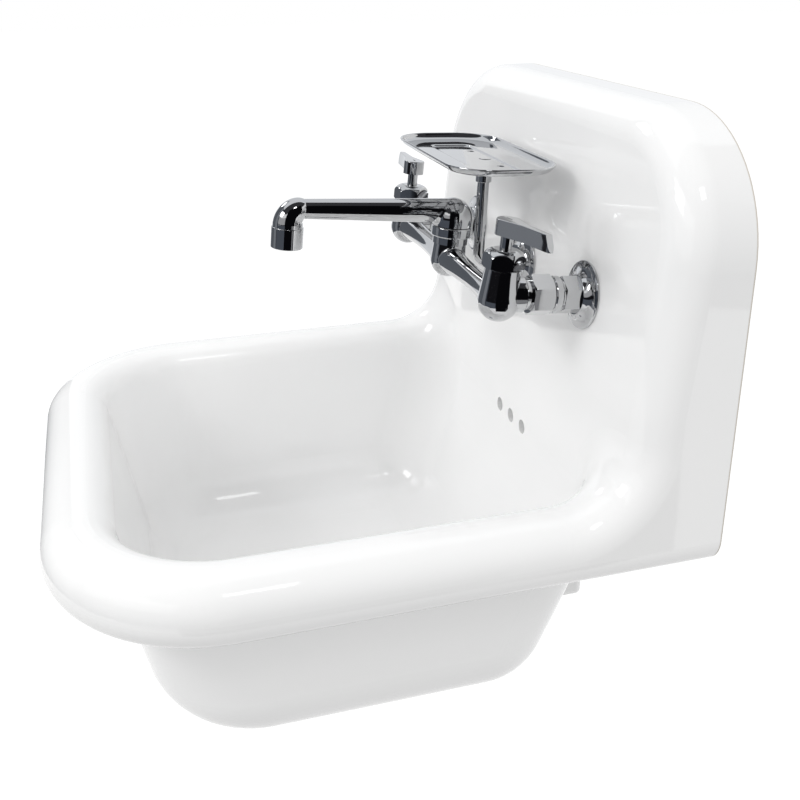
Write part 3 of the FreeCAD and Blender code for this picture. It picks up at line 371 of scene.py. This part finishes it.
def handling_group():
    """Roughness of a clean surface with faint smears and dried drops on it."""
    name = "Handling marks"
    if name in bpy.data.node_groups:
        return bpy.data.node_groups[name]
    tree, given, out = new_group(
        name,
        [("Place", "NodeSocketVector", (0, 0, 0)), ("Smear scale", "NodeSocketFloat", 20.0),
         ("Drop scale", "NodeSocketFloat", 120.0), ("Drop share", "NodeSocketFloat", 0.35),
         ("Clean", "NodeSocketFloat", 0.05), ("Marked", "NodeSocketFloat", 0.12)],
        [("Roughness", "NodeSocketFloat")])
    smear = add_node(tree, "ShaderNodeTexNoise",
                     {"Vector": given.outputs["Place"], "Scale": given.outputs["Smear scale"],
                      "Detail": 4.0, "Distortion": 0.8})
    smear_mask = add_node(tree, "ShaderNodeMapRange",
                          {"Value": smear.outputs["Fac"], "From Min": 0.48, "From Max": 0.78})
    drops = add_node(tree, "ShaderNodeTexVoronoi",
                     {"Vector": given.outputs["Place"], "Scale": given.outputs["Drop scale"]})
    drop_mask = add_node(tree, "ShaderNodeMapRange",
                         {"Value": drops.outputs["Distance"], "From Min": 0.16, "From Max": 0.1})
    faint_drops = add_node(tree, "ShaderNodeMath",
                           {0: drop_mask.outputs["Result"], 1: given.outputs["Drop share"]},
                           operation="MULTIPLY")
    mask = add_node(tree, "ShaderNodeMath",
                    {0: smear_mask.outputs["Result"], 1: faint_drops.outputs["Value"]}, operation="MAXIMUM")
    level = add_node(tree, "ShaderNodeMapRange",
                     {"Value": mask.outputs["Value"], "To Min": given.outputs["Clean"],
                      "To Max": given.outputs["Marked"]})
    tree.links.new(level.outputs["Result"], out.inputs["Roughness"])
    return tree


def ripple_group():
    """Height of long soft waves with a finer skin on them, from 0 to 1."""
    name = "Surface ripple"
    if name in bpy.data.node_groups:
        return bpy.data.node_groups[name]
    tree, given, out = new_group(
        name,
        [("Place", "NodeSocketVector", (0, 0, 0)), ("Wave scale", "NodeSocketFloat", 30.0),
         ("Skin scale", "NodeSocketFloat", 400.0), ("Skin share", "NodeSocketFloat", 0.04)],
        [("Height", "NodeSocketFloat")])
    wave = add_node(tree, "ShaderNodeTexNoise",
                    {"Vector": given.outputs["Place"], "Scale": given.outputs["Wave scale"], "Detail": 0.0})
    skin = add_node(tree, "ShaderNodeTexNoise",
                    {"Vector": given.outputs["Place"], "Scale": given.outputs["Skin scale"], "Detail": 1.0})
    share = add_node(tree, "ShaderNodeMath",
                     {0: skin.outputs["Fac"], 1: given.outputs["Skin share"]}, operation="MULTIPLY")
    total = add_node(tree, "ShaderNodeMath",
                     {0: wave.outputs["Fac"], 1: share.outputs["Value"]}, operation="ADD")
    tree.links.new(total.outputs["Value"], out.inputs["Height"])
    return tree


def grain_group():
    """Height and tone of a fine grain, drawn out along one direction."""
    name = "Drawn grain"
    if name in bpy.data.node_groups:
        return bpy.data.node_groups[name]
    tree, given, out = new_group(
        name,
        [("Place", "NodeSocketVector", (0, 0, 0)), ("Stretch", "NodeSocketVector", (1, 1, 1)),
         ("Scale", "NodeSocketFloat", 500.0), ("Dark", "NodeSocketColor", (0.3, 0.3, 0.3, 1)),
         ("Light", "NodeSocketColor", (0.6, 0.6, 0.6, 1))],
        [("Height", "NodeSocketFloat"), ("Color", "NodeSocketColor")])
    drawn = add_node(tree, "ShaderNodeVectorMath",
                     {0: given.outputs["Place"], 1: given.outputs["Stretch"]}, operation="MULTIPLY")
    noise = add_node(tree, "ShaderNodeTexNoise",
                     {"Vector": drawn.outputs["Vector"], "Scale": given.outputs["Scale"], "Detail": 2.0})
    spread = add_node(tree, "ShaderNodeMapRange",
                      {"Value": noise.outputs["Fac"], "From Min": 0.25, "From Max": 0.75})
    color = mix_colors(tree, spread.outputs["Result"], given.outputs["Dark"], given.outputs["Light"])
    tree.links.new(spread.outputs["Result"], out.inputs["Height"])
    tree.links.new(color, out.inputs["Color"])
    return tree


def place_group(tree, group, inputs):
    """Put a node group into a material and fill its inputs."""
    node = add_node(tree, "ShaderNodeGroup", node_tree=group)
    fill_inputs(tree, node, inputs)
    return node


def new_material(name):
    """Empty node material: its tree, its shader and the place it reads patterns from."""
    material = bpy.data.materials.new(name)
    material.use_nodes = True
    tree = material.node_tree
    shader = tree.nodes["Principled BSDF"]
    place = tree.nodes.new("ShaderNodeTexCoord").outputs["Object"]
    return material, tree, shader, place


def add_bump(tree, shader, height, distance):
    """Feed a height into the shader's normal."""
    bump = add_node(tree, "ShaderNodeBump", {"Height": height, "Distance": distance, "Strength": 1.0})
    tree.links.new(bump.outputs["Normal"], shader.inputs["Normal"])


def rgba(color):
    """Colour with full alpha."""
    return (*color, 1.0)


def shaded(color, share):
    """Colour made darker or lighter by a share."""
    return tuple(min(channel * share, 1.0) for channel in color)


def glaze_material(settings):
    """White glaze with slow waves, slight tone drift and a bare edge at the wall."""
    material, tree, shader, place = new_material("Fired white glaze")
    tone = place_group(tree, tone_drift_group(),
                       {"Place": place, "Scale": 7.0, "First": rgba(settings.color),
                        "Second": rgba(settings.thin_color)})
    marks = place_group(tree, handling_group(),
                        {"Place": place, "Smear scale": 9.0, "Drop scale": 60.0,
                         "Clean": settings.roughness, "Marked": settings.marked_roughness})
    ripple = place_group(tree, ripple_group(),
                         {"Place": place, "Wave scale": 26.0, "Skin scale": 350.0, "Skin share": 0.02})
    axes = add_node(tree, "ShaderNodeSeparateXYZ", {"Vector": place})
    bare = add_node(tree, "ShaderNodeMapRange",
                    {"Value": axes.outputs["Y"], "From Min": -settings.bare_depth,
                     "From Max": -settings.bare_depth / 2})
    color = mix_colors(tree, bare.outputs["Result"], tone.outputs["Color"], rgba(settings.bare_color))
    tree.links.new(color, shader.inputs["Base Color"])
    rough = add_node(tree, "ShaderNodeMapRange",
                     {"Value": bare.outputs["Result"], "To Min": marks.outputs["Roughness"], "To Max": 0.7})
    tree.links.new(rough.outputs["Result"], shader.inputs["Roughness"])
    add_bump(tree, shader, ripple.outputs["Height"], settings.ripple)
    return material


def chrome_material(settings):
    """Polished plate with faint smears, dried drops and a hand-polished wave."""
    material, tree, shader, place = new_material(plate_name)
    shader.inputs["Metallic"].default_value = 1.0
    tone = place_group(tree, tone_drift_group(),
                       {"Place": place, "Scale": 25.0, "First": rgba(settings.chrome_color),
                        "Second": rgba(shaded(settings.chrome_color, 0.94))})
    marks = place_group(tree, handling_group(),
                        {"Place": place, "Smear scale": 45.0, "Drop scale": 260.0,
                         "Clean": settings.chrome_roughness, "Marked": settings.chrome_marked})
    ripple = place_group(tree, ripple_group(),
                         {"Place": place, "Wave scale": 70.0, "Skin scale": 900.0, "Skin share": 0.01})
    tree.links.new(tone.outputs["Color"], shader.inputs["Base Color"])
    tree.links.new(marks.outputs["Roughness"], shader.inputs["Roughness"])
    add_bump(tree, shader, ripple.outputs["Height"], settings.chrome_ripple)
    return material


def steel_material(settings):
    """Zinc-grey steel with a rolled grain."""
    material, tree, shader, place = new_material(steel_name)
    shader.inputs["Metallic"].default_value = 1.0
    grain = place_group(tree, grain_group(),
                        {"Place": place, "Stretch": (0.06, 1.0, 1.0), "Scale": 900.0,
                         "Dark": rgba(shaded(settings.steel_color, 0.72)),
                         "Light": rgba(shaded(settings.steel_color, 1.12))})
    marks = place_group(tree, handling_group(),
                        {"Place": place, "Smear scale": 60.0, "Drop scale": 200.0,
                         "Clean": 0.3, "Marked": 0.5})
    tree.links.new(grain.outputs["Color"], shader.inputs["Base Color"])
    tree.links.new(marks.outputs["Roughness"], shader.inputs["Roughness"])
    add_bump(tree, shader, grain.outputs["Height"], settings.grain)
    return material


def brass_material(settings):
    """Turned brass with fine tool marks and a little tarnish."""
    material, tree, shader, place = new_material("Turned brass")
    shader.inputs["Metallic"].default_value = 1.0
    tone = place_group(tree, tone_drift_group(),
                       {"Place": place, "Scale": 90.0, "First": rgba(settings.brass_color),
                        "Second": rgba(shaded(settings.brass_color, 0.7))})
    grain = place_group(tree, grain_group(),
                        {"Place": place, "Stretch": (0.2, 0.2, 1.0), "Scale": 1200.0})
    marks = place_group(tree, handling_group(),
                        {"Place": place, "Smear scale": 80.0, "Drop scale": 300.0,
                         "Clean": 0.22, "Marked": 0.45})
    tree.links.new(tone.outputs["Color"], shader.inputs["Base Color"])
    tree.links.new(marks.outputs["Roughness"], shader.inputs["Roughness"])
    add_bump(tree, shader, grain.outputs["Height"], settings.grain)
    return material


def rubber_material(settings):
    """Black moulded rubber with a fine grain and pale dust."""
    material, tree, shader, place = new_material("Moulded black rubber")
    grain = place_group(tree, grain_group(),
                        {"Place": place, "Stretch": (1.0, 1.0, 1.0), "Scale": 1500.0,
                         "Dark": rgba(shaded(settings.color, 0.7)),
                         "Light": rgba(shaded(settings.color, 1.7))})
    marks = place_group(tree, handling_group(),
                        {"Place": place, "Smear scale": 70.0, "Drop scale": 250.0,
                         "Clean": settings.roughness, "Marked": settings.dusty_roughness})
    tree.links.new(grain.outputs["Color"], shader.inputs["Base Color"])
    tree.links.new(marks.outputs["Roughness"], shader.inputs["Roughness"])
    add_bump(tree, shader, grain.outputs["Height"], settings.grain)
    return material


def dress(names, material):
    """Give nodes a material in place of the one they were loaded with."""
    for name in names:
        slots = frame["nodes"][name].material_slots
        if not slots:
            raise RuntimeError(f"{name} has no material slot")
        for slot in slots:
            slot.material = material


def polished_copy(name, width, segments, material):
    """Piece that stands for a node, with its sharp edges rounded as buffing and plating leave them."""
    bm = bmesh.new()
    bm.from_mesh(frame["nodes"][name].data)
    bmesh.ops.remove_doubles(bm, verts=bm.verts, dist=merge_gap)
    bmesh.ops.dissolve_limit(bm, angle_limit=flat_angle, verts=bm.verts, edges=bm.edges)
    for item in bm.faces[:] + bm.edges[:]:
        item.smooth = True
    piece = new_piece(bm, name + "_buffed", body_of[name], material)
    kept = piece.data.attributes.get("custom_normal")
    if kept:
        piece.data.attributes.remove(kept)
    bevel = piece.modifiers.new("Soft edges", "BEVEL")
    bevel.width = width
    bevel.segments = segments
    bevel.limit_method = "ANGLE"
    bevel.angle_limit = buffed_angle
    normals = piece.modifiers.new("Even shading", "WEIGHTED_NORMAL")
    normals.weight = 100
    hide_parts(name)
    return piece


class SINK_OT_glaze_basin(bpy.types.Operator):
    """Give the basin its fired white glaze"""

    bl_idname = "sink.glaze_basin"
    bl_label = "Glaze the basin"

    def execute(self, context):
        dress(nodes_of("glaze"), glaze_material(context.scene.sink_glaze))
        return {"FINISHED"}


class SINK_OT_plate_faucet(bpy.types.Operator):
    """Plate the faucet, the supplies, the soap dish and the drain"""

    bl_idname = "sink.plate_faucet"
    bl_label = "Plate the faucet"

    def execute(self, context):
        settings = context.scene.sink_metal
        plate = chrome_material(settings)
        dress(nodes_of("chrome"), plate)
        for side in sides:
            polished_copy("lever_" + side, settings.lever_edge_width, settings.edge_segments, plate)
            for name in ("bonnet_", "union_nut_", "supply_flange_", "supply_shank_"):
                polished_copy(name + side, settings.edge_width, settings.edge_segments, plate)
        for name in ("swivel_nut", "aerator_housing", "dish_bracket_flange", "dish_collar"):
            polished_copy(name, settings.edge_width, settings.edge_segments, plate)
        return {"FINISHED"}


class SINK_OT_finish_fixings(bpy.types.Operator):
    """Finish the steel and brass fixings"""

    bl_idname = "sink.finish_fixings"
    bl_label = "Finish the fixings"

    def execute(self, context):
        settings = context.scene.sink_metal
        dress(nodes_of("steel"), steel_material(settings))
        dress(nodes_of("brass"), brass_material(settings))
        return {"FINISHED"}


class SINK_OT_finish_seals(bpy.types.Operator):
    """Finish the rubber seals"""

    bl_idname = "sink.finish_seals"
    bl_label = "Finish the seals"

    def execute(self, context):
        dress(nodes_of("rubber"), rubber_material(context.scene.sink_seal))
        return {"FINISHED"}


def thread_piece(name, start, along, radius, length, pitch, settings, material):
    """Helical thread round a rod, from a start point along a direction."""
    turns = max(int(length / pitch) - 1, 1)
    rise = turns * pitch
    steps = turns * settings.steps
    low = radius - settings.sink
    high = radius + pitch * settings.crest
    margin = (length - rise - pitch) / 2
    bm = bmesh.new()
    corners = ((low, 0, margin), (high, 0, margin + pitch / 2), (low, 0, margin + pitch))
    bm.faces.new([bm.verts.new(corner) for corner in corners])
    bmesh.ops.spin(bm, geom=bm.verts[:] + bm.edges[:] + bm.faces[:], cent=(0, 0, 0), axis=(0, 0, 1),
                   dvec=(0, 0, rise / steps), angle=2 * math.pi * turns, steps=steps, use_merge=False)
    bmesh.ops.remove_doubles(bm, verts=bm.verts, dist=thread_gap)
    bmesh.ops.holes_fill(bm, edges=[edge for edge in bm.edges if edge.is_boundary], sides=3)
    bmesh.ops.recalc_face_normals(bm, faces=bm.faces)
    turn = upright.rotation_difference(along).to_matrix().to_4x4()
    bmesh.ops.transform(bm, matrix=Matrix.Translation(start) @ turn, verts=bm.verts)
    new_piece(bm, name, "sink", material)


class SINK_OT_cut_threads(bpy.types.Operator):
    """Cut the threads on the supply shanks, the drain's tube and the dish's rod"""

    bl_idname = "sink.cut_threads"
    bl_label = "Cut the threads"

    def execute(self, context):
        settings = context.scene.sink_thread
        plate = bpy.data.materials[plate_name]
        for side in sides:
            mount = mounts["supply_" + side]
            axis = Vector(mount["axis"]).normalized()
            length = mount["dims"]["length_mm"] / millimetres
            start = Vector(mount["pos_m"]) - axis * length / 2
            thread_piece("supply_thread_" + side, start, axis, mount["dims"]["r_mm"] / millimetres, length,
                         settings.shank_pitch, settings, plate)
        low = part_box("tail_coupling_nut")[1].z
        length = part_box("drain_lock_nut")[0].z - low
        start = slid_to(middle_of("drain_flange_gasket"), upright, low)
        radius = bore_radius("drain_slip_washer", upright) - settings.fit
        thread_piece("drain_thread", start, upright, radius, length, settings.drain_pitch, settings, plate)
        axis = Vector(mounts["supply_left"]["axis"]).normalized()
        nut_back = furthest("dish_bracket_nut", axis)
        length = furthest("dish_bracket", axis) - nut_back
        start = slid_to(middle_of("dish_bracket_nut"), axis, nut_back)
        radius = bore_radius("dish_bracket_nut", axis) - settings.fit
        thread_piece("dish_rod_thread", start, axis, radius, length, settings.rod_pitch, settings, plate)
        return {"FINISHED"}


class SINK_OT_fit_screen(bpy.types.Operator):
    """Fit the woven wire screen in the spout's outlet"""

    bl_idname = "sink.fit_screen"
    bl_label = "Fit the wire screen"

    def execute(self, context):
        settings = context.scene.sink_thread
        low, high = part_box("aerator_screen")
        reach = min(high.x - low.x, high.y - low.y) / 2 - settings.wire_margin
        axis = Vector(joints["spout_swivel"]["axis"])
        centre = slid_to(middle_of("aerator_screen"), axis, -furthest("aerator_screen", -axis))
        across = Vector((1, 0, 0))
        onward = axis.cross(across)
        count = int(reach / settings.wire_pitch)
        bm = bmesh.new()
        for along, beside, lift in zip((across, onward), (onward, across), settings.wire_lifts):
            turn = upright.rotation_difference(along).to_matrix().to_4x4()
            for i in range(-count, count + 1):
                offset = i * settings.wire_pitch
                half = math.sqrt(max(reach ** 2 - offset ** 2, 0))
                spot = centre + beside * offset - axis * settings.wire_radius * lift
                bmesh.ops.create_cone(bm, cap_ends=True, segments=wire_steps, radius1=settings.wire_radius,
                                      radius2=settings.wire_radius, depth=2 * half,
                                      matrix=Matrix.Translation(spot) @ turn)
        bmesh.ops.recalc_face_normals(bm, faces=bm.faces)
        new_piece(bm, "aerator_wire_screen", body_of["aerator_screen"],
                  bpy.data.materials[steel_name])
        return {"FINISHED"}


# Lines of the dish's pressing: distance in from the edge, and height
pressing = (
    (0.0, 0.0066), (0.0004, 0.0072), (0.0009, 0.0074), (0.0014, 0.0071), (0.0019, 0.0064), (0.0025, 0.0053),
    (0.0033, 0.0042), (0.0044, 0.0033), (0.0062, 0.0027), (0.0090, 0.0023), (0.0150, 0.00205),
    (0.0236, 0.00185), (0.0242, 0.0018), (0.0246, 0.0012), (0.0249, 0.00085), (0.0256, 0.0008))


def pressed_sheet(length, width, settings):
    """Dish's upper skin, floor down: a rolled edge, a steep cove, a gentle slope and a flat floor."""
    bm = bmesh.new()
    bmesh.ops.create_grid(bm, x_segments=1, y_segments=1, size=0.5)
    bmesh.ops.scale(bm, vec=(length, width, 1), verts=bm.verts)
    bmesh.ops.bevel(bm, geom=bm.verts[:], offset=settings.corner, offset_type="OFFSET", segments=corner_steps,
                    profile=0.5, affect="VERTICES", material=-1)
    bmesh.ops.recalc_face_normals(bm, faces=bm.faces)
    middle = bm.faces[:]
    if middle[0].normal.z < 0:
        bmesh.ops.reverse_faces(bm, faces=middle)
    edge = bm.edges[:]
    inset, level = pressing[0]
    bmesh.ops.translate(bm, vec=(0, 0, level), verts=bm.verts)
    for next_inset, next_level in pressing[1:]:
        bmesh.ops.inset_region(bm, faces=middle, thickness=next_inset - inset, depth=next_level - level,
                               use_even_offset=True, use_boundary=True)
        inset, level = next_inset, next_level
    skirt = bmesh.ops.extrude_edge_only(bm, edges=edge)["geom"]
    skirt_verts = [item for item in skirt if isinstance(item, bmesh.types.BMVert)]
    bmesh.ops.translate(bm, vec=(0, 0, -settings.skirt), verts=skirt_verts)
    bmesh.ops.recalc_face_normals(bm, faces=bm.faces)
    return bm


def lower_head(mesh, spot, lean, height):
    """Let a screw's head down onto the pressed floor and make it flat."""
    floor = pressing[-1][1]
    up = lean.to_3x3() @ upright
    rises = [up.dot(vertex.co - spot) for vertex in mesh.vertices]
    top = max(rises)
    under = min(rise for rise in rises if rise > floor)
    for vertex, rise in zip(mesh.vertices, rises):
        if rise > floor:
            vertex.co += up * (floor + (rise - under) / (top - under) * height - rise)


def punch_holes(piece, cutters):
    """Cut a bmesh's solids out of a piece whose modifiers are then made part of its mesh."""
    mesh = bpy.data.meshes.new("punch")
    cutters.to_mesh(mesh)
    cutters.free()
    punch = bpy.data.objects.new("punch", mesh)
    bpy.context.scene.collection.objects.link(punch)
    cut = piece.modifiers.new("Holes", "BOOLEAN")
    cut.object = punch
    cut.solver = "EXACT"
    shaped = piece.evaluated_get(bpy.context.evaluated_depsgraph_get())
    final = bpy.data.meshes.new_from_object(shaped)
    piece.modifiers.clear()
    piece.data = final
    final.set_sharp_from_angle(angle=punched_angle)
    bpy.data.objects.remove(punch)


class SINK_OT_press_dish(bpy.types.Operator):
    """Press the soap dish from sheet, with a rolled edge, two drain holes and a flat screw"""

    bl_idname = "sink.press_dish"
    bl_label = "Press the soap dish"

    def execute(self, context):
        settings = context.scene.sink_dish
        low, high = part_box("soap_dish")
        lean = Matrix.Rotation(settings.tilt, 4, "X")
        width = (high.y - low.y - settings.depth * abs(math.sin(settings.tilt))) / math.cos(settings.tilt)
        spot = middle_of("soap_dish") - lean @ Vector((0, 0, settings.depth / 2))
        bm = pressed_sheet(high.x - low.x, width, settings)
        bmesh.ops.transform(bm, matrix=Matrix.Translation(spot) @ lean, verts=bm.verts)
        for face in bm.faces:
            face.smooth = True
        plate = bpy.data.materials[plate_name]
        dish = new_piece(bm, "pressed_soap_dish", body_of["soap_dish"], plate)
        wall = dish.modifiers.new("Sheet", "SOLIDIFY")
        wall.thickness = settings.sheet
        wall.offset = -1
        smooth = dish.modifiers.new("Smooth", "SUBSURF")
        smooth.levels = smooth.render_levels = 2
        post = middle_of("dish_screw") - spot
        cutters = bmesh.new()
        for side in (-1, 1):
            bmesh.ops.create_cone(cutters, cap_ends=True, segments=hole_steps, radius1=settings.hole_radius,
                                  radius2=settings.hole_radius, depth=hole_reach * settings.depth,
                                  matrix=Matrix.Translation(spot) @ lean
                                  @ Matrix.Translation((side * settings.hole_offset, post.y, 0)))
        punch_holes(dish, cutters)
        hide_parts("soap_dish")
        screw = polished_copy("dish_screw", settings.head_edge, 1, plate)
        lower_head(screw.data, spot, lean, settings.head)
        return {"FINISHED"}


def seen_directly(tree):
    """Mask that is 1 for rays from the camera, mirrors and glass, and 0 for the rest."""
    rays = tree.nodes.new("ShaderNodeLightPath")
    first = add_node(tree, "ShaderNodeMath",
                     {0: rays.outputs["Is Camera Ray"], 1: rays.outputs["Is Glossy Ray"]},
                     operation="MAXIMUM")
    both = add_node(tree, "ShaderNodeMath",
                    {0: first.outputs["Value"], 1: rays.outputs["Is Transmission Ray"]},
                    operation="MAXIMUM")
    return both.outputs["Value"]


def stage_object(bm, name, material):
    """Turn a bmesh into a piece of the stage."""
    made = object_from(bm, name, material)
    return made


def floor_material(settings):
    """Pale floor that reads white to the camera and keeps the sink's shadow."""
    material = bpy.data.materials.new("Pale floor")
    material.use_nodes = True
    tree = material.node_tree
    shader = tree.nodes["Principled BSDF"]
    shader.inputs["Base Color"].default_value = rgba(settings.floor_color)
    shader.inputs["Roughness"].default_value = 0.9
    shader.inputs["Specular IOR Level"].default_value = 0.0
    lift = add_node(tree, "ShaderNodeMath", {0: seen_directly(tree), 1: settings.floor_lift},
                    operation="MULTIPLY")
    glow = add_node(tree, "ShaderNodeEmission", {"Color": (1, 1, 1, 1), "Strength": lift.outputs["Value"]})
    both = add_node(tree, "ShaderNodeAddShader", {0: shader.outputs["BSDF"], 1: glow.outputs["Emission"]})
    tree.links.new(both.outputs["Shader"], tree.nodes["Material Output"].inputs["Surface"])
    return material


def lay_floor(settings):
    """Wide pale floor under the sink."""
    bm = bmesh.new()
    bmesh.ops.create_grid(bm, x_segments=1, y_segments=1, size=settings.floor_size,
                          matrix=Matrix.Translation((0, 0, settings.floor_level)))
    stage_object(bm, "floor", floor_material(settings))


def screen_material(name, tone):
    """Even tone of one screen, whatever light falls on it."""
    material = bpy.data.materials.new(name)
    material.use_nodes = True
    material.cycles.emission_sampling = "NONE"
    tree = material.node_tree
    glow = add_node(tree, "ShaderNodeEmission", {"Color": rgba(tone), "Strength": 1.0})
    tree.links.new(glow.outputs["Emission"], tree.nodes["Material Output"].inputs["Surface"])
    return material


def only_in_mirrors(made):
    """Let only mirrors show an object of the stage."""
    made.visible_camera = False
    made.visible_diffuse = False
    made.visible_shadow = False
    made.visible_transmission = False


def screen(name, centre, azimuths, elevations, reach, tone):
    """Upright curved screen round the sink, between two azimuths and two elevations in degrees."""
    start, stop = (math.radians(angle) for angle in azimuths)
    low, high = (centre.z + reach * math.tan(math.radians(angle)) for angle in elevations)
    spot = centre + Vector((math.sin(start), -math.cos(start), 0)) * reach
    bm = bmesh.new()
    ends = [bm.verts.new((spot.x, spot.y, level)) for level in (low, high)]
    edge = bm.edges.new(ends)
    bmesh.ops.spin(bm, geom=ends + [edge], cent=centre, axis=upright, angle=stop - start,
                   steps=screen_steps)
    only_in_mirrors(stage_object(bm, name, screen_material(name, tone)))


def ceiling(name, side, size, level, tone):
    """Flat sheet overhead, on one side of the sink."""
    width, length = size
    place = Matrix.Translation((side * width, 0, level)) @ Matrix.Diagonal((width, length, 1, 1))
    bm = bmesh.new()
    bmesh.ops.create_grid(bm, x_segments=1, y_segments=1, size=1, matrix=place)
    only_in_mirrors(stage_object(bm, name, screen_material(name, tone)))


def softbox(name, centre, azimuth, elevation, reach, width, height, radiance, in_mirrors):
    """Area light aimed at the sink from a direction."""
    turn = math.radians(azimuth)
    rise = math.radians(elevation)
    toward = Vector((math.cos(rise) * math.sin(turn), -math.cos(rise) * math.cos(turn), math.sin(rise)))
    lamp = bpy.data.lights.new(name, "AREA")
    lamp.shape = "RECTANGLE"
    lamp.size = width
    lamp.size_y = height
    lamp.energy = radiance * math.pi * width * height
    made = bpy.data.objects.new(name, lamp)
    made.location = centre + toward * reach
    made.rotation_euler = toward.to_track_quat("Z", "Y").to_euler()
    made.visible_glossy = in_mirrors
    bpy.context.scene.collection.objects.link(made)


def studio_world(settings):
    """Even light from all sides, which is plain white to the camera, mirrors and glass."""
    world = bpy.data.worlds.new("Studio")
    world.use_nodes = True
    tree = world.node_tree
    level = add_node(tree, "ShaderNodeMapRange",
                     {"Value": seen_directly(tree), "To Min": settings.fill, "To Max": 1.0})
    background = tree.nodes["Background"]
    background.inputs["Color"].default_value = (1, 1, 1, 1)
    tree.links.new(level.outputs["Result"], background.inputs["Strength"])
    return world


def studio_camera(settings):
    """Camera at the sink's front right, a little above the dish."""
    lens = bpy.data.cameras.new("camera")
    lens.lens = settings.camera_lens
    lens.sensor_width = settings.camera_sensor
    camera = bpy.data.objects.new("camera", lens)
    camera.location = settings.camera_place
    camera.rotation_euler = settings.camera_turn
    bpy.context.scene.collection.objects.link(camera)
    return camera


# Tones that the studio shows to the plated pieces: azimuths from straight out of the wall, elevations, tone
screens = (
    ("dark_screen", (54, 108), (-44, 46), (0.004, 0.004, 0.005)),
    ("dark_wing", (108, 131), (-14, 50), (0.004, 0.004, 0.005)),
    ("dark_foot", (116, 122), (-44, -14), (0.006, 0.006, 0.007)),
    ("grey_foot", (108, 116), (-44, -14), (0.30, 0.30, 0.31)),
    ("dark_rail", (0, 54), (-4, 5), (0.010, 0.010, 0.012)),
    ("blue_screen", (0, 54), (-27, -4), (0.10, 0.112, 0.135)),
    ("front_panel", (0, 54), (5, 22), (0.50, 0.50, 0.51)),
    ("blue_strip", (-7, 0), (-26, 46), (0.076, 0.084, 0.100)),
    ("grey_strip", (-28, -7), (-26, 46), (0.255, 0.270, 0.295)),
    ("dark_strip", (-29.5, -28), (-26, 46), (0.020, 0.020, 0.023)),
    ("slate_screen", (-72, -29.5), (-26, 46), (0.140, 0.152, 0.172)),
    ("light_screen", (-150, -72), (-18, 52), (0.86, 0.88, 0.91)))

# Sheets overhead that the plated pieces mirror: side of the sink, tone
ceilings = (
    ("near_ceiling", 1, (0.05, 0.05, 0.055)),
    ("far_ceiling", -1, (0.92, 0.94, 0.97)))

# Lights: azimuth, elevation, distance, width, height, radiance, and whether mirrors show them
softboxes = (
    ("front_softbox", 10, 32, 2.0, 0.8, 0.45, 6.5, True),
    ("left_softbox", -58, 34, 2.1, 0.45, 0.45, 5.2, True),
    ("right_softbox", 86, 48, 2.1, 0.42, 0.3, 5.0, True),
    ("top_softbox", 0, 89, 2.0, 1.6, 1.6, 0.40, False),
    ("front_fill", 5, 14, 2.5, 2.0, 1.6, 0.9, False),
    ("side_fill", 112, 5, 2.3, 1.2, 1.2, 1.6, False))


class SINK_OT_set_stage(bpy.types.Operator):
    """Set up the floor, the lights, the screens and the camera"""

    bl_idname = "sink.set_stage"
    bl_label = "Set the stage"

    def execute(self, context):
        scene = context.scene
        settings = scene.sink_stage
        lay_floor(settings)
        middle = middle_of("faucet_body")
        for name, azimuths, elevations, tone in screens:
            screen(name, middle, azimuths, elevations, settings.screen_reach, tone)
        for name, side, tone in ceilings:
            ceiling(name, side, settings.ceiling_size, settings.ceiling_level, tone)
        for name, *values in softboxes:
            softbox(name, middle, *values)
        scene.world = studio_world(settings)
        scene.view_settings.view_transform = "Standard"
        scene.camera = studio_camera(settings)
        return {"FINISHED"}


class SINK_PT_finishes(bpy.types.Panel):
    """Finishes of the sink"""

    bl_idname = "SINK_PT_finishes"
    bl_label = "Wall-mounted sink"
    bl_space_type = "VIEW_3D"
    bl_region_type = "UI"
    bl_category = "Sink"

    def draw(self, context):
        for operator in operators:
            self.layout.operator(operator.bl_idname)
        for group in groups:
            settings = getattr(context.scene, group)
            box = self.layout.box()
            for key in settings.bl_rna.properties.keys():
                if key not in ("rna_type", "name"):
                    box.prop(settings, key)


groups = {"sink_glaze": GlazeSettings, "sink_metal": MetalSettings, "sink_seal": SealSettings,
          "sink_thread": ThreadSettings, "sink_dish": DishSettings, "sink_stage": StageSettings}
operators = (SINK_OT_glaze_basin, SINK_OT_plate_faucet, SINK_OT_finish_fixings, SINK_OT_finish_seals,
             SINK_OT_cut_threads, SINK_OT_fit_screen, SINK_OT_press_dish, SINK_OT_set_stage)


def register():
    """Register the settings, the operators and the panel."""
    for name, group in groups.items():
        bpy.utils.register_class(group)
        setattr(bpy.types.Scene, name, PointerProperty(type=group))
    for operator in operators:
        bpy.utils.register_class(operator)
    bpy.utils.register_class(SINK_PT_finishes)


def unregister():
    """Take back what register added."""
    bpy.utils.unregister_class(SINK_PT_finishes)
    for operator in reversed(operators):
        bpy.utils.unregister_class(operator)
    for name, group in reversed(groups.items()):
        delattr(bpy.types.Scene, name)
        bpy.utils.unregister_class(group)


def main():
    """Finish the sink and set the stage."""
    register()
    bpy.ops.sink.glaze_basin()
    bpy.ops.sink.plate_faucet()
    bpy.ops.sink.finish_fixings()
    bpy.ops.sink.finish_seals()
    bpy.ops.sink.cut_threads()
    bpy.ops.sink.fit_screen()
    bpy.ops.sink.press_dish()
    bpy.ops.sink.set_stage()


if __name__ == "__main__":
    main()
